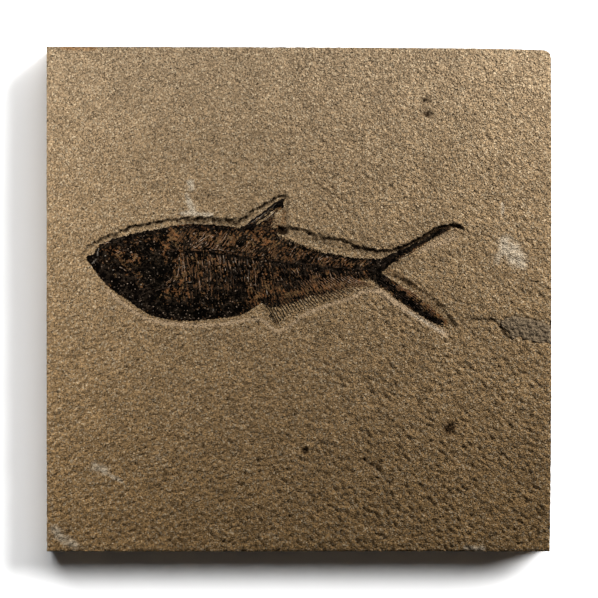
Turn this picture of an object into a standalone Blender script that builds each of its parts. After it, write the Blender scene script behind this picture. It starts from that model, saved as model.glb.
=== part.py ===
"""A fossil fish slab: a square tile of pale brown sandy stone, worked down round a fossil herring.

The fish lies on its side in a shallow trough cut into the tile, and a scrap of a second fossil
runs out at the tile's right edge. The tile lies flat, with the fish facing up.

Axes: +X towards the fish's tail, +Y towards its back, +Z up. The origin is in the middle of the
tile's underside. Lengths below are in millimetres, and the meshes are made in metres.
"""

import math

import bpy
import numpy as np
from mathutils import Vector, noise
from mathutils.geometry import delaunay_2d_cdt

MM = 0.001

# The tile. Its uneven face reaches TOP at its highest places.
SIDE = 150.0
TOP = 12.0
FACE_UNEVENNESS = 0.14
FACE_MEAN = TOP - FACE_UNEVENNESS - 0.01
FACE_LUMP_LENGTH = 7.0
FACE_EDGE_WEAR = 0.1
SIDE_LEVELS = (8.4, 4.2, 0.0)
SIDE_ROUGHNESS = 0.45
SIDE_LUMP_LENGTH = 9.0

# The trough round the fish, and the bed that the fish sits in with a gap all round.
# A wall's foot is given as a share of the way from the trough's crest to the fish.
TROUGH_FLOOR = 10.8
STEEP_WALL_FOOT = 0.32
GENTLE_WALL_FOOT = 0.72
BED_FLOOR = 9.6
GAP = 0.3
BED_WALL_RUN = 0.06

# The fish, and the relief of its bones.
FISH_BOTTOM = BED_FLOOR + GAP
FISH_RIM = 10.95
FISH_RISE = 0.62
FISH_RISE_RUN = 3.2
RIM_CLEARANCE = 0.55
BONE_RELIEF = 0.2
FURROW_RELIEF = -0.16
HEAD_RELIEF = 0.26
PLATE_EDGE_HALF_WIDTH = 0.75
VERTEBRA_PITCH = 1.65
VERTEBRA_HALF_WIDTH = 0.75
VERTEBRA_WAIST_HALF_WIDTH = 0.54
VERTEBRA_RELIEF = 0.22
WAIST_RELIEF = 0.08
FLESH_RELIEF = 0.13
FLESH_LUMP_LENGTH = 1.7

# The fossil scrap.
SCRAP_BED_FLOOR = 10.2
SCRAP_BOTTOM = SCRAP_BED_FLOOR + GAP
SCRAP_TOP = 11.75
SCRAP_RELIEF = 0.22
SCRAP_LUMP_LENGTH = 1.3

# How far apart the meshes' points are.
TILE_EDGE_STEP = 4.0
FIELD_STEP = 4.0
CREST_STEP = 1.7
FISH_STEP = 1.3
BONE_STEP = 2.4
PLATE_STEP = 1.6
FLESH_STEP = 2.3
SCRAP_EDGE_STEP = 2.2
SCRAP_STEP = 1.6
LEAST_CLEARANCE = 0.9

# The tile's four sides, seen from above, and its worn far right corner.
TILE_SIDES = (
    ((-75.0, 75.0), (-30.0, 74.9), (20.0, 74.7), (55.0, 74.4), (72.6, 74.0)),
    ((72.6, 74.0), (74.3, 73.2), (74.9, 71.4)),
    ((74.9, 71.4), (75.0, 40.0), (75.0, 0.0), (74.9, -40.0), (74.5, -75.0)),
    ((74.5, -75.0), (30.0, -74.9), (-30.0, -75.0), (-74.9, -74.9)),
    ((-74.9, -74.9), (-75.0, -20.0), (-75.0, 30.0), (-75.0, 75.0)),
)

# The fish's outline, as smooth stretches that meet at its corners, from the snout round by the back.
BACK = (
    (-63.6, 11.8), (-61.3, 14.2), (-58.6, 16.6), (-54.5, 18.1), (-47.1, 20.0), (-41.1, 21.0),
    (-33.7, 22.2), (-26.3, 22.1), (-17.4, 21.2),
)
DORSAL_LEADING = ((-17.4, 21.2), (-14.5, 23.1), (-11.5, 25.3), (-8.5, 27.6), (-6.2, 29.2), (-4.2, 29.9))
DORSAL_TRAILING = ((-4.2, 29.9), (-4.7, 27.8), (-5.8, 24.2), (-6.5, 19.6))
BACK_BEHIND_FIN = ((-6.5, 19.6), (1.8, 16.3), (10.7, 13.3), (16.7, 12.2), (24.1, 11.9))
UPPER_LOBE_TOP = (
    (24.1, 11.9), (30.0, 14.5), (33.6, 16.0), (37.1, 17.8), (40.1, 19.7), (42.4, 20.9),
    (45.4, 21.3), (47.8, 21.1),
)
UPPER_LOBE_TIP = ((47.8, 21.1), (47.8, 20.4))
UPPER_LOBE_UNDER = (
    (47.8, 20.4), (44.8, 20.0), (41.9, 18.7), (38.9, 16.9), (35.9, 15.0), (32.7, 13.0),
    (29.4, 11.2), (27.0, 9.8), (25.2, 7.6),
)
LOWER_LOBE_TOP = (
    (25.2, 7.6), (28.2, 5.3), (31.2, 3.6), (34.1, 2.1), (37.1, -0.3), (40.1, -3.0),
    (43.0, -5.3), (45.0, -8.0),
)
LOWER_LOBE_TIP = ((45.0, -8.0), (44.5, -8.7))
LOWER_LOBE_UNDER = (
    (44.5, -8.7), (41.9, -7.7), (38.9, -6.4), (35.3, -4.3), (31.8, -1.9), (28.5, 0.4),
    (25.5, 3.0), (22.6, 4.3),
)
ANAL_MARGIN = (
    (22.6, 4.3), (18.1, 2.7), (13.7, 0.6), (9.2, -0.9), (4.8, -2.1), (0.4, -3.7),
    (-2.6, -5.3), (-5.2, -7.1),
)
ANAL_LEADING = ((-5.2, -7.1), (-6.5, -6.5), (-8.5, -4.1), (-10.9, -0.7))
BELLY = (
    (-10.9, -0.7), (-13.9, -3.0), (-18.0, -5.0), (-24.8, -5.8), (-32.2, -6.5), (-38.8, -6.1),
    (-43.5, -5.0), (-47.7, -2.7), (-51.8, 0.3), (-56.3, 3.3), (-59.5, 6.8), (-62.2, 10.4),
    (-63.6, 11.8),
)
FISH_STRETCHES = (
    BACK, DORSAL_LEADING, DORSAL_TRAILING, BACK_BEHIND_FIN, UPPER_LOBE_TOP, UPPER_LOBE_TIP,
    UPPER_LOBE_UNDER, LOWER_LOBE_TOP, LOWER_LOBE_TIP, LOWER_LOBE_UNDER, ANAL_MARGIN,
    ANAL_LEADING, BELLY,
)

# The trough's crest, where its walls meet the tile's face. The walls above the back are steep.
CREST_ABOVE = (
    (-65.6, 12.2), (-64.0, 15.2), (-61.0, 16.9), (-57.7, 18.5), (-53.6, 20.3), (-50.0, 21.8),
    (-44.1, 23.0), (-36.7, 24.0), (-29.3, 24.5), (-21.9, 24.0), (-17.4, 23.9), (-13.9, 26.4),
    (-10.3, 28.9), (-6.8, 30.9), (-3.6, 31.6), (-2.4, 29.9), (-3.2, 25.8), (-2.6, 21.9),
    (0.9, 20.9), (6.3, 19.1), (12.8, 18.1), (16.7, 16.5), (21.1, 15.6), (25.5, 15.7),
    (30.0, 16.7), (34.7, 18.5), (38.9, 20.9), (43.3, 22.6), (47.8, 22.8), (49.6, 20.9),
)
CREST_IN_TAIL = (
    (49.6, 20.9), (47.2, 18.2), (43.3, 16.3), (38.9, 14.2), (34.7, 12.0), (31.2, 10.1),
    (29.2, 8.0), (31.4, 6.4), (35.0, 4.8), (38.9, 2.0), (42.5, -1.6), (45.2, -4.9), (47.0, -8.6),
)
CREST_BELOW = (
    (47.0, -8.6), (44.9, -11.3), (41.9, -10.4), (37.4, -8.0), (33.0, -4.9), (28.8, -1.5),
    (25.8, 1.4), (19.6, 0.9), (15.2, -0.6), (10.7, -2.2), (5.7, -3.6), (1.5, -5.2),
    (-1.7, -7.1), (-4.4, -9.5), (-6.7, -10.2), (-9.1, -8.9), (-11.5, -6.3), (-13.0, -5.5),
    (-15.9, -6.8), (-20.4, -8.0), (-26.3, -8.6), (-33.7, -8.6), (-39.7, -8.1), (-44.7, -6.8),
    (-48.6, -4.6), (-53.0, -1.5), (-57.7, 2.0), (-61.4, 5.8), (-64.2, 9.4), (-65.6, 12.2),
)
CREST_STRETCHES = (CREST_ABOVE, CREST_IN_TAIL, CREST_BELOW)

# The fossil scrap's outline, cut off at the tile's right edge.
TILE_RIGHT_EDGE = 75.0
SCRAP_INSET = 0.25
SCRAP_BROKEN_EDGE = (
    (73.2, -13.2), (70.5, -12.9), (67.0, -12.1), (64.8, -11.5), (63.3, -12.0), (62.4, -10.2),
    (61.2, -8.7), (59.9, -7.5), (60.3, -6.4), (62.8, -5.2), (66.2, -5.4), (70.0, -6.2), (73.2, -7.3),
)
SCRAP_STRETCHES = (
    SCRAP_BROKEN_EDGE,
    ((73.2, -7.3), (TILE_RIGHT_EDGE, -7.8)),
    ((TILE_RIGHT_EDGE, -7.8), (TILE_RIGHT_EDGE, -13.4)),
    ((TILE_RIGHT_EDGE, -13.4), (73.2, -13.2)),
)

# Pits in the tile's face, as centre, half length, half width, turn in degrees, and depth.
PITS = (
    ((37.4, 59.0), 0.9, 0.7, 0.0, 0.6),
    ((37.2, 56.9), 0.7, 0.6, 0.0, 0.6),
    ((38.2, 54.5), 1.7, 0.8, -5.0, 0.7),
    ((1.8, -45.1), 1.3, 0.8, -50.0, 0.7),
    ((44.6, -38.3), 1.9, 1.4, 35.0, 0.8),
    ((23.5, -53.1), 0.9, 0.5, -35.0, 0.5),
    ((-26.9, 30.8), 0.5, 0.5, 0.0, 0.4),
    ((-57.2, -50.6), 3.4, 1.8, -40.0, 0.35),
    ((-70.1, -70.8), 3.6, 2.2, 20.0, 0.35),
    ((52.2, -5.9), 2.6, 0.5, 2.0, 0.35),
    ((57.4, -6.2), 1.3, 0.6, -35.0, 0.6),
)
# The deep hole in the trough just behind the dorsal fin.
HOLE_CENTRE = (-4.4, 20.9)
HOLE_RADIUS = 0.95
HOLE_DEPTH = 0.9
CRACK = ((21.4, -48.6), (23.4, -50.1), (24.7, -51.4), (26.2, -53.0), (27.2, -54.6))
CRACK_HALF_WIDTH = 0.5
CRACK_DEPTH = 0.5

# The skeleton, along the fish.
BACKBONE = (
    (-40.5, 14.4), (-32.2, 14.6), (-23.4, 13.9), (-17.4, 13.1), (-11.5, 12.0), (-5.6, 11.2),
    (0.4, 10.5), (6.3, 9.9), (12.2, 9.3), (18.1, 8.8), (23.6, 8.3),
)
# Each row of bones: where it starts and ends along the fish, its pitch, its lean from +X in
# degrees, the lengths of its first and last bones, and how far each bows, as a share of its length.
RIBS = (-34.0, -11.0, 1.15, -84.0, (16.5, 12.0), 0.1)
UPPER_SPINES = (-38.0, 18.0, 1.5, 52.0, (7.5, 2.3), 0.05)
LOWER_SPINES = (-8.0, 18.0, 1.5, -72.0, (7.6, 1.2), 0.04)
BONE_ROOT_GAP = 1.35
DORSAL_BASE = ((-16.4, 21.2), (-12.0, 20.6), (-7.6, 20.2))
ANAL_BASE = ((-9.9, -0.6), (3.3, 2.3), (21.6, 5.4))
# Rays and the furrows between them, counted together.
DORSAL_LINES = 9
ANAL_LINES = 41
TAIL_LOBE_LINES = 5
LOBE_LENGTH = 24.0

# The plates of the head.
EYE_CENTRE = (-51.9, 11.9)
EYE_RADIUS = 2.7
GILL_CENTRE = (-43.6, 8.4)
GILL_RADIUS = 3.7
SHOULDER = ((-36.4, 11.6), (-38.3, 6.4), (-40.6, 3.9), (-44.1, 2.4), (-47.4, 0.7))
SKULL_ROOF = ((-58.2, 14.8), (-54.0, 16.4), (-49.0, 17.9), (-43.8, 18.9))
JAW = ((-60.9, 11.2), (-58.6, 9.2), (-56.2, 7.2), (-53.6, 5.2), (-50.9, 3.3))
CHEEK = ((-56.0, 14.0), (-53.2, 15.2), (-49.2, 14.6), (-47.8, 11.6), (-48.4, 8.6))
NAPE = ((-41.4, 19.2), (-39.0, 17.6), (-37.2, 16.2))
BODY_LINE = ((-37.2, 5.0), (-34.8, 5.2))
PLATE_EDGES = (SHOULDER, SKULL_ROOF, JAW, CHEEK, NAPE, BODY_LINE)

STONE_COLOUR = (0.235, 0.175, 0.112)
BONE_COLOUR = (0.028, 0.019, 0.013)
SCRAP_COLOUR = (0.115, 0.09, 0.072)


def clear_scene():
    """Remove whatever the scene starts with."""
    for obj in list(bpy.data.objects):
        bpy.data.objects.remove(obj)


def curve_through(points, step):
    """Evenly spaced points, about a step apart, on a smooth curve through the given ones."""
    given = np.asarray(points, float)
    padded = np.vstack([2 * given[0] - given[1], given, 2 * given[-1] - given[-2]])
    share = np.linspace(0, 1, 16, endpoint=False)[:, None]
    spans = []
    for before, start, end, after in zip(padded, padded[1:], padded[2:], padded[3:]):
        linear = (end - before) * share
        square = (2 * before - 5 * start + 4 * end - after) * share**2
        cube = (3 * start - before - 3 * end + after) * share**3
        spans.append(start + 0.5 * (linear + square + cube))
    fine = np.vstack(spans + [given[-1:]])
    along = np.concatenate([[0], np.cumsum(np.linalg.norm(np.diff(fine, axis=0), axis=1))])
    wanted = np.linspace(0, along[-1], max(1, round(along[-1] / step)) + 1)
    return np.column_stack([np.interp(wanted, along, fine[:, axis]) for axis in (0, 1)])


def closed_outline(stretches, step):
    """One closed outline, without its first point repeated, from stretches that meet at corners."""
    return np.vstack([curve_through(stretch, step)[:-1] for stretch in stretches])


def circle(centre, radius, count):
    """Points round a circle."""
    turns = np.linspace(0, 2 * math.pi, count, endpoint=False)
    return np.asarray(centre) + radius * np.column_stack([np.cos(turns), np.sin(turns)])


def ellipse(centre, half_length, half_width, turn_degrees, count):
    """Points round an ellipse whose long axis is turned from +X."""
    unit = circle((0, 0), 1, count) * (half_length, half_width)
    turn = math.radians(turn_degrees)
    turned = unit @ [[math.cos(turn), math.sin(turn)], [-math.sin(turn), math.cos(turn)]]
    return np.asarray(centre) + turned


def outward_at(outline):
    """How each corner of an outline moves when every side moves out by one: the mitre."""
    ahead = np.roll(outline, -1, axis=0) - outline
    ahead /= np.linalg.norm(ahead, axis=1)[:, None]
    behind = np.roll(ahead, 1, axis=0)
    turning = 1 if signed_area(outline) > 0 else -1
    normals = turning * np.column_stack([ahead[:, 1] + behind[:, 1], -ahead[:, 0] - behind[:, 0]])
    squared = (normals**2).sum(axis=1)[:, None]
    return 2 * normals / np.maximum(squared, 1.0)


def signed_area(outline):
    """Positive where the outline runs anticlockwise."""
    after = np.roll(outline, -1, axis=0)
    return float((outline[:, 0] * after[:, 1] - outline[:, 1] * after[:, 0]).sum()) / 2


def is_inside(points, outline):
    """Whether each point lies inside a closed outline."""
    start, end = outline, np.roll(outline, -1, axis=0)
    x, y = points[:, :1], points[:, 1:]
    crosses = (start[:, 1] > y) != (end[:, 1] > y)
    rise = np.where(end[:, 1] == start[:, 1], 1.0, end[:, 1] - start[:, 1])
    meets = start[:, 0] + (y - start[:, 1]) * (end[:, 0] - start[:, 0]) / rise
    return (crosses & (x < meets)).sum(axis=1) % 2 == 1


def distance_to(points, line, closed=False):
    """Distance from each point to the nearest place on a line of points."""
    start = line if closed else line[:-1]
    end = np.roll(line, -1, axis=0) if closed else line[1:]
    run = end - start
    offset = points[:, None] - start
    share = np.clip((offset * run).sum(axis=2) / (run**2).sum(axis=1), 0, 1)
    return np.linalg.norm(offset - share[..., None] * run, axis=2).min(axis=1)


def nearest_on(points, outline):
    """The nearest corner of an outline to each point."""
    return outline[np.linalg.norm(points[:, None] - outline, axis=2).argmin(axis=1)]


def sideways(line):
    """The direction to the left of a line at each of its points."""
    run = np.gradient(line, axis=0)
    return np.column_stack([-run[:, 1], run[:, 0]]) / np.linalg.norm(run, axis=1)[:, None]


def jittered_grid(low, high, step, seed):
    """Scattered points, one in each cell of a grid between two corners."""
    random = np.random.default_rng(seed)
    across = np.arange(low[0] + step / 2, high[0], step)
    up = np.arange(low[1] + step / 2, high[1], step)
    cells = np.stack(np.meshgrid(across, up), axis=-1).reshape(-1, 2)
    return cells + random.uniform(-0.33, 0.33, cells.shape) * step


def unevenness(x, y, length, seed):
    """Smooth noise between about -1 and 1 at a place on the tile."""
    return 2 * noise.noise(Vector((x / length, y / length, seed)))


class Relief:
    """A surface seen from above, made from points with heights and lines that its edges follow."""

    def __init__(self):
        self.places = []
        self.heights = []
        self.edges = []
        self.lines = []

    def add_points(self, places, heights):
        """Add loose points, which keep clear of the lines already added."""
        clear = np.ones(len(places), bool)
        for line, closed in self.lines:
            clear &= distance_to(places, line, closed) > LEAST_CLEARANCE
        self._extend(places[clear], np.broadcast_to(heights, len(places))[clear])

    def add_line(self, places, heights, closed=False):
        """Add a line of points that the surface's edges follow."""
        first = len(self.places)
        self._extend(places, heights)
        count = len(places)
        ends = count if closed else count - 1
        self.edges += [(first + at, first + (at + 1) % count) for at in range(ends)]
        self.lines.append((np.asarray(places), closed))

    def _extend(self, places, heights):
        self.places += [tuple(map(float, place)) for place in places]
        self.heights += list(map(float, np.broadcast_to(heights, len(places))))

    def triangles(self, outline, height_at):
        """The surface's points and its triangles inside an outline.

        Where two lines cross there is a new point, and height_at gives it its height.
        """
        flat = [Vector(place) for place in self.places]
        found = delaunay_2d_cdt(flat, self.edges, [], 0, 1e-6, True)
        places = np.array([tuple(place) for place in found[0]])
        faces = np.array([face for face in found[2]])
        heights = np.array([
            np.mean([self.heights[source] for source in sources]) if sources else np.nan
            for sources in found[3]
        ])
        new = np.isnan(heights)
        heights[new] = height_at(places[new])
        faces = faces[is_inside(places[faces].mean(axis=1), outline)]
        return np.column_stack([places, heights]), faces


def facing_up(points, faces):
    """The faces, each turned to run anticlockwise seen from above."""
    first, second, third = (points[faces[:, corner], :2] for corner in range(3))
    one, other = second - first, third - first
    down = one[:, 0] * other[:, 1] - one[:, 1] * other[:, 0] < 0
    return np.where(down[:, None], faces[:, ::-1], faces)


def rim_of(faces):
    """The points round the edge of an open surface, in order, anticlockwise from above."""
    sides = np.concatenate([faces[:, [0, 1]], faces[:, [1, 2]], faces[:, [2, 0]]])
    known = set(map(tuple, sides))
    after = {int(start): int(end) for start, end in sides if (end, start) not in known}
    ring = [next(iter(after))]
    while after[ring[-1]] != ring[0]:
        ring.append(after[ring[-1]])
    return np.array(ring)


def close_below(points, faces, lower_rings):
    """Close a surface into a solid, down its sides by rings of points, to a flat underside."""
    used, faces = np.unique(faces, return_inverse=True)
    points, faces = points[used], faces.reshape(-1, 3)
    ring = rim_of(faces)
    all_faces = faces.tolist()
    all_points = [points]
    above = ring
    first = len(points)
    for lower in lower_rings(points[ring]):
        below = np.arange(first, first + len(ring))
        beside = zip(above, np.roll(above, -1), np.roll(below, -1), below)
        all_faces += [[int(b), int(a), int(d), int(c)] for a, b, c, d in beside]
        all_points.append(lower)
        above, first = below, first + len(ring)
    all_faces.append([int(corner) for corner in above[::-1]])
    return np.vstack(all_points), all_faces


def solid_object(name, points, faces, origin, material):
    """A mesh object from points in millimetres, with its own origin."""
    shifted = (points - np.asarray(origin)) * MM
    mesh = bpy.data.meshes.new(name)
    mesh.from_pydata(shifted.tolist(), [], faces)
    mesh.materials.append(material)
    mesh.shade_smooth()
    mesh.set_sharp_from_angle(angle=math.radians(25))
    obj = bpy.data.objects.new(name, mesh)
    obj.location = Vector(origin) * MM
    bpy.context.scene.collection.objects.link(obj)
    return obj


def stone_material(name, colour, roughness):
    """A matt natural surface."""
    material = bpy.data.materials.new(name)
    material.use_nodes = True
    surface = material.node_tree.nodes["Principled BSDF"]
    surface.inputs["Base Color"].default_value = (*colour, 1.0)
    surface.inputs["Roughness"].default_value = roughness
    surface.inputs["Metallic"].default_value = 0.0
    return material


def face_height(places):
    """Height of the tile's uneven face at each place."""
    uneven = [unevenness(x, y, FACE_LUMP_LENGTH, 3.7) for x, y in places]
    return FACE_MEAN + FACE_UNEVENNESS * np.clip(uneven, -1, 1)


def trough_foot(crest, bed):
    """Where the trough's wall reaches its floor: near the crest above the back, far from it below."""
    nearest = nearest_on(crest, bed)
    facing = (crest - nearest) / np.linalg.norm(crest - nearest, axis=1)[:, None]
    steepness = np.clip(0.5 + 0.9 * facing[:, 1], 0, 1)
    share = GENTLE_WALL_FOOT + (STEEP_WALL_FOOT - GENTLE_WALL_FOOT) * steepness
    return crest + (nearest - crest) * share[:, None]


def add_pit(relief, centre, half_length, half_width, turn, depth):
    """A hollow in the tile's face: its rim at the face, and a smaller ring near its bottom."""
    rim = ellipse(centre, half_length, half_width, turn, 9)
    bottom = ellipse(centre, 0.5 * half_length, 0.5 * half_width, turn, 6)
    relief.add_line(rim, face_height(rim), closed=True)
    relief.add_line(bottom, face_height(bottom) - depth, closed=True)


def add_crack(relief):
    """A short open crack: a lens with its middle line sunk."""
    middle = curve_through(CRACK, 1.6)
    inner = middle[1:-1]
    side = sideways(middle)[1:-1] * CRACK_HALF_WIDTH
    rim = np.vstack([middle[:1], inner + side, middle[-1:], (inner - side)[::-1]])
    relief.add_line(rim, face_height(rim), closed=True)
    relief.add_line(inner, face_height(inner) - CRACK_DEPTH)


def add_fish_bed(relief, fish_outline):
    """The trough round the fish and the bed under it, and the hole behind its dorsal fin."""
    outward = outward_at(fish_outline)
    bed_edge = fish_outline + (GAP + BED_WALL_RUN) * outward
    bed_foot = fish_outline + GAP * outward
    crest = closed_outline(CREST_STRETCHES, CREST_STEP)
    relief.add_line(crest, face_height(crest), closed=True)
    relief.add_line(trough_foot(crest, bed_edge), TROUGH_FLOOR, closed=True)
    relief.add_line(bed_edge, TROUGH_FLOOR, closed=True)
    relief.add_line(bed_foot, BED_FLOOR, closed=True)
    relief.add_line(circle(HOLE_CENTRE, HOLE_RADIUS, 9), TROUGH_FLOOR, closed=True)
    relief.add_line(circle(HOLE_CENTRE, 0.5 * HOLE_RADIUS, 6), TROUGH_FLOOR - HOLE_DEPTH, closed=True)
    return crest


def add_scrap_bed(relief, scrap_outline):
    """The bed of the fossil scrap, which runs out through the tile's right edge.

    Returns the outline of its mouth and that of its floor.
    """
    past_edge = scrap_outline.copy()
    past_edge[past_edge[:, 0] > TILE_RIGHT_EDGE - 0.5, 0] += 3.0
    outward = outward_at(past_edge)
    edge = past_edge + (GAP + BED_WALL_RUN) * outward
    foot = past_edge + GAP * outward
    relief.add_line(edge, face_height(edge), closed=True)
    relief.add_line(foot, SCRAP_BED_FLOOR, closed=True)
    return edge, past_edge + (GAP + 0.1 * BED_WALL_RUN) * outward


def tile_side_rings(rim):
    """The rings of points down the tile's rough sides."""
    outward = outward_at(rim[:, :2])
    for level in SIDE_LEVELS:
        depth = [
            0.5 * SIDE_ROUGHNESS * (1 + unevenness(x - y, level, SIDE_LUMP_LENGTH, 8.1))
            for x, y in rim[:, :2]
        ]
        inset = np.clip(depth, 0, SIDE_ROUGHNESS)[:, None]
        yield np.column_stack([rim[:, :2] - inset * outward, np.full(len(rim), level)])


def build_slab(fish_outline, scrap_outline):
    """The stone tile, with the trough, the beds, the pits and the crack in its face."""
    relief = Relief()
    tile = closed_outline(TILE_SIDES, TILE_EDGE_STEP)
    relief.add_line(tile, face_height(tile) - FACE_EDGE_WEAR, closed=True)
    crest = add_fish_bed(relief, fish_outline)
    scrap_bed, scrap_floor = add_scrap_bed(relief, scrap_outline)
    for pit in PITS:
        add_pit(relief, *pit)
    add_crack(relief)
    half = SIDE / 2
    field = jittered_grid((-half, -half), (half, half), FIELD_STEP, seed=5)
    field = field[~is_inside(field, crest) & ~is_inside(field, scrap_bed)]
    relief.add_points(field, face_height(field))
    points, faces = relief.triangles(tile, face_height)
    points[is_inside(points[:, :2], scrap_floor), 2] = SCRAP_BED_FLOOR
    points, faces = close_below(points, facing_up(points, faces), tile_side_rings)
    material = stone_material("sandy_stone", STONE_COLOUR, 0.95)
    return solid_object("slab", points, faces, (0, 0, 0), material)


def crown(places, outline):
    """Height of the fish's rounded side at each place, rising from its outline."""
    from_rim = distance_to(places, outline, closed=True)
    return FISH_RIM + FISH_RISE * (1 - np.exp(-((from_rim / FISH_RISE_RUN) ** 1.5)))


def add_bones(relief, outline, bones):
    """Raised bones with a furrow between each one and the next, kept clear of the outline."""
    for number, bone in enumerate(bones):
        lift = BONE_RELIEF if number % 2 == 0 else FURROW_RELIEF
        keep = is_inside(bone, outline) & (distance_to(bone, outline, True) > RIM_CLEARANCE)
        bone = bone[keep]
        if len(bone) > 1:
            relief.add_line(bone, crown(bone, outline) + lift)


def add_backbone(relief, outline):
    """The row of vertebrae: three lines, with a waist and a swelling for each vertebra."""
    middle = curve_through(BACKBONE, VERTEBRA_PITCH / 2)
    across = sideways(middle)
    swollen = np.arange(len(middle)) % 2 == 1
    height = crown(middle, outline)
    half_width = np.where(swollen, VERTEBRA_HALF_WIDTH, VERTEBRA_WAIST_HALF_WIDTH)[:, None]
    relief.add_line(middle, height + np.where(swollen, VERTEBRA_RELIEF, WAIST_RELIEF))
    for side in (-1, 1):
        relief.add_line(middle + side * half_width * across, height)


def along_backbone(start, end, pitch):
    """Places on the backbone, half a pitch apart, for bones and furrows in turn."""
    middle = curve_through(BACKBONE, 0.5)
    x = np.arange(start, end, pitch / 2)
    return np.column_stack([x, np.interp(x, middle[:, 0], middle[:, 1])])


def swept_bones(start, end, pitch, lean_degrees, lengths, bow):
    """A row of curved bones from the backbone, with a furrow between each one and the next."""
    lean = math.radians(lean_degrees)
    way = np.array([math.cos(lean), math.sin(lean)])
    across = np.array([-way[1], way[0]])
    roots = along_backbone(start, end, pitch)
    bones = []
    for root, length in zip(roots, np.linspace(*lengths, len(roots))):
        share = np.linspace(0, 1, max(3, round(length / BONE_STEP) + 1))[:, None]
        straight = root + way * (BONE_ROOT_GAP + share * length)
        bones.append(straight + across * bow * length * share * (1 - share))
    return bones


def fan(base, margin, count):
    """Fin rays from a base line to a margin line, with furrows between them."""
    starts = curve_through(base, 0.2)
    ends = curve_through(margin, 0.2)
    rays = []
    for share in np.linspace(0.04, 0.96, count):
        start = starts[round(share * (len(starts) - 1))]
        end = ends[round(share * (len(ends) - 1))]
        reach = np.linalg.norm(end - start)
        stop = 1 - RIM_CLEARANCE / reach
        steps = np.linspace(0, stop, max(2, round(reach / BONE_STEP) + 1))[:, None]
        rays.append(start + (end - start) * steps)
    return rays


def lobe_rays(one_edge, other_edge):
    """Fin rays that run the length of a tail lobe, spread between its two edges."""
    count = round(LOBE_LENGTH / BONE_STEP) + 1
    edges = []
    for edge in (one_edge, other_edge):
        fine = curve_through(edge, 0.1)
        edges.append(fine[np.linspace(0, len(fine) - 1, count).round().astype(int)])
    shares = np.linspace(0, 1, TAIL_LOBE_LINES + 2)[1:-1]
    return [edges[0] * (1 - share) + edges[1] * share for share in shares]


def add_head(relief, outline):
    """The eye socket, gill cover, skull roof, jaw and shoulder bones of the flattened head."""
    for centre, radius in ((EYE_CENTRE, EYE_RADIUS), (GILL_CENTRE, GILL_RADIUS)):
        ring = circle(centre, radius, 16)
        relief.add_line(ring, crown(ring, outline) + HEAD_RELIEF, closed=True)
        hollow = circle(centre, 0.66 * radius, 12)
        relief.add_line(hollow, crown(hollow, outline) + FURROW_RELIEF, closed=True)
    for edge in PLATE_EDGES:
        line = curve_through(edge, PLATE_STEP)
        relief.add_line(line, crown(line, outline) + HEAD_RELIEF)
        for side in (-PLATE_EDGE_HALF_WIDTH, PLATE_EDGE_HALF_WIDTH):
            foot = line + side * sideways(line)
            relief.add_line(foot, crown(foot, outline) + FURROW_RELIEF)


def add_fins(relief, outline):
    """The rays of the dorsal, anal and tail fins."""
    add_bones(relief, outline, fan(DORSAL_BASE, DORSAL_TRAILING, DORSAL_LINES))
    add_bones(relief, outline, fan(ANAL_BASE, ANAL_MARGIN[::-1], ANAL_LINES))
    add_bones(relief, outline, lobe_rays(UPPER_LOBE_TOP, UPPER_LOBE_UNDER[::-1]))
    add_bones(relief, outline, lobe_rays(LOWER_LOBE_TOP, LOWER_LOBE_UNDER[::-1]))


def add_skeleton(relief, outline):
    """The backbone with its ribs and its upper and lower spines."""
    add_backbone(relief, outline)
    for row in (RIBS, UPPER_SPINES, LOWER_SPINES):
        add_bones(relief, outline, swept_bones(*row))


def fish_side_ring(rim):
    """The one ring of points under the fish's rim."""
    yield np.column_stack([rim[:, :2], np.full(len(rim), FISH_BOTTOM)])


def build_fish(fish_outline):
    """The fossil fish: a thin body with its skeleton, head plates and fin rays raised on it."""
    relief = Relief()
    relief.add_line(fish_outline, FISH_RIM, closed=True)
    add_skeleton(relief, fish_outline)
    add_head(relief, fish_outline)
    add_fins(relief, fish_outline)
    low, high = fish_outline.min(axis=0), fish_outline.max(axis=0)
    flesh = jittered_grid(low, high, FLESH_STEP, seed=11)
    flesh = flesh[is_inside(flesh, fish_outline)]
    lumps = [FLESH_RELIEF * unevenness(x, y, FLESH_LUMP_LENGTH, 5.3) for x, y in flesh]
    relief.add_points(flesh, crown(flesh, fish_outline) + lumps)
    points, faces = relief.triangles(fish_outline, lambda places: crown(places, fish_outline))
    points, faces = close_below(points, facing_up(points, faces), fish_side_ring)
    material = stone_material("fossil_bone", BONE_COLOUR, 0.55)
    return solid_object("fish", points, faces, (-10.0, 8.0, FISH_BOTTOM), material)


def scrap_side_ring(rim):
    """The one ring of points under the scrap's rim."""
    yield np.column_stack([rim[:, :2], np.full(len(rim), SCRAP_BOTTOM)])


def build_scrap(scrap_outline):
    """The lumpy scrap of a second fossil, cut off flush with the tile's right side."""
    inside_edge = scrap_outline.copy()
    inside_edge[:, 0] = np.minimum(inside_edge[:, 0], TILE_RIGHT_EDGE - SCRAP_INSET)
    relief = Relief()
    relief.add_line(inside_edge, SCRAP_TOP - SCRAP_RELIEF, closed=True)
    low, high = inside_edge.min(axis=0), inside_edge.max(axis=0)
    lumps = jittered_grid(low, high, SCRAP_STEP, seed=2)
    lumps = lumps[is_inside(lumps, inside_edge)]
    rise = [SCRAP_RELIEF * unevenness(x, y, SCRAP_LUMP_LENGTH, 1.9) for x, y in lumps]
    relief.add_points(lumps, SCRAP_TOP + np.array(rise))
    points, faces = relief.triangles(inside_edge, face_height)
    points, faces = close_below(points, facing_up(points, faces), scrap_side_ring)
    material = stone_material("fossil_scrap", SCRAP_COLOUR, 0.85)
    return solid_object("fossil_scrap", points, faces, (67.5, -9.5, SCRAP_BOTTOM), material)


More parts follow.
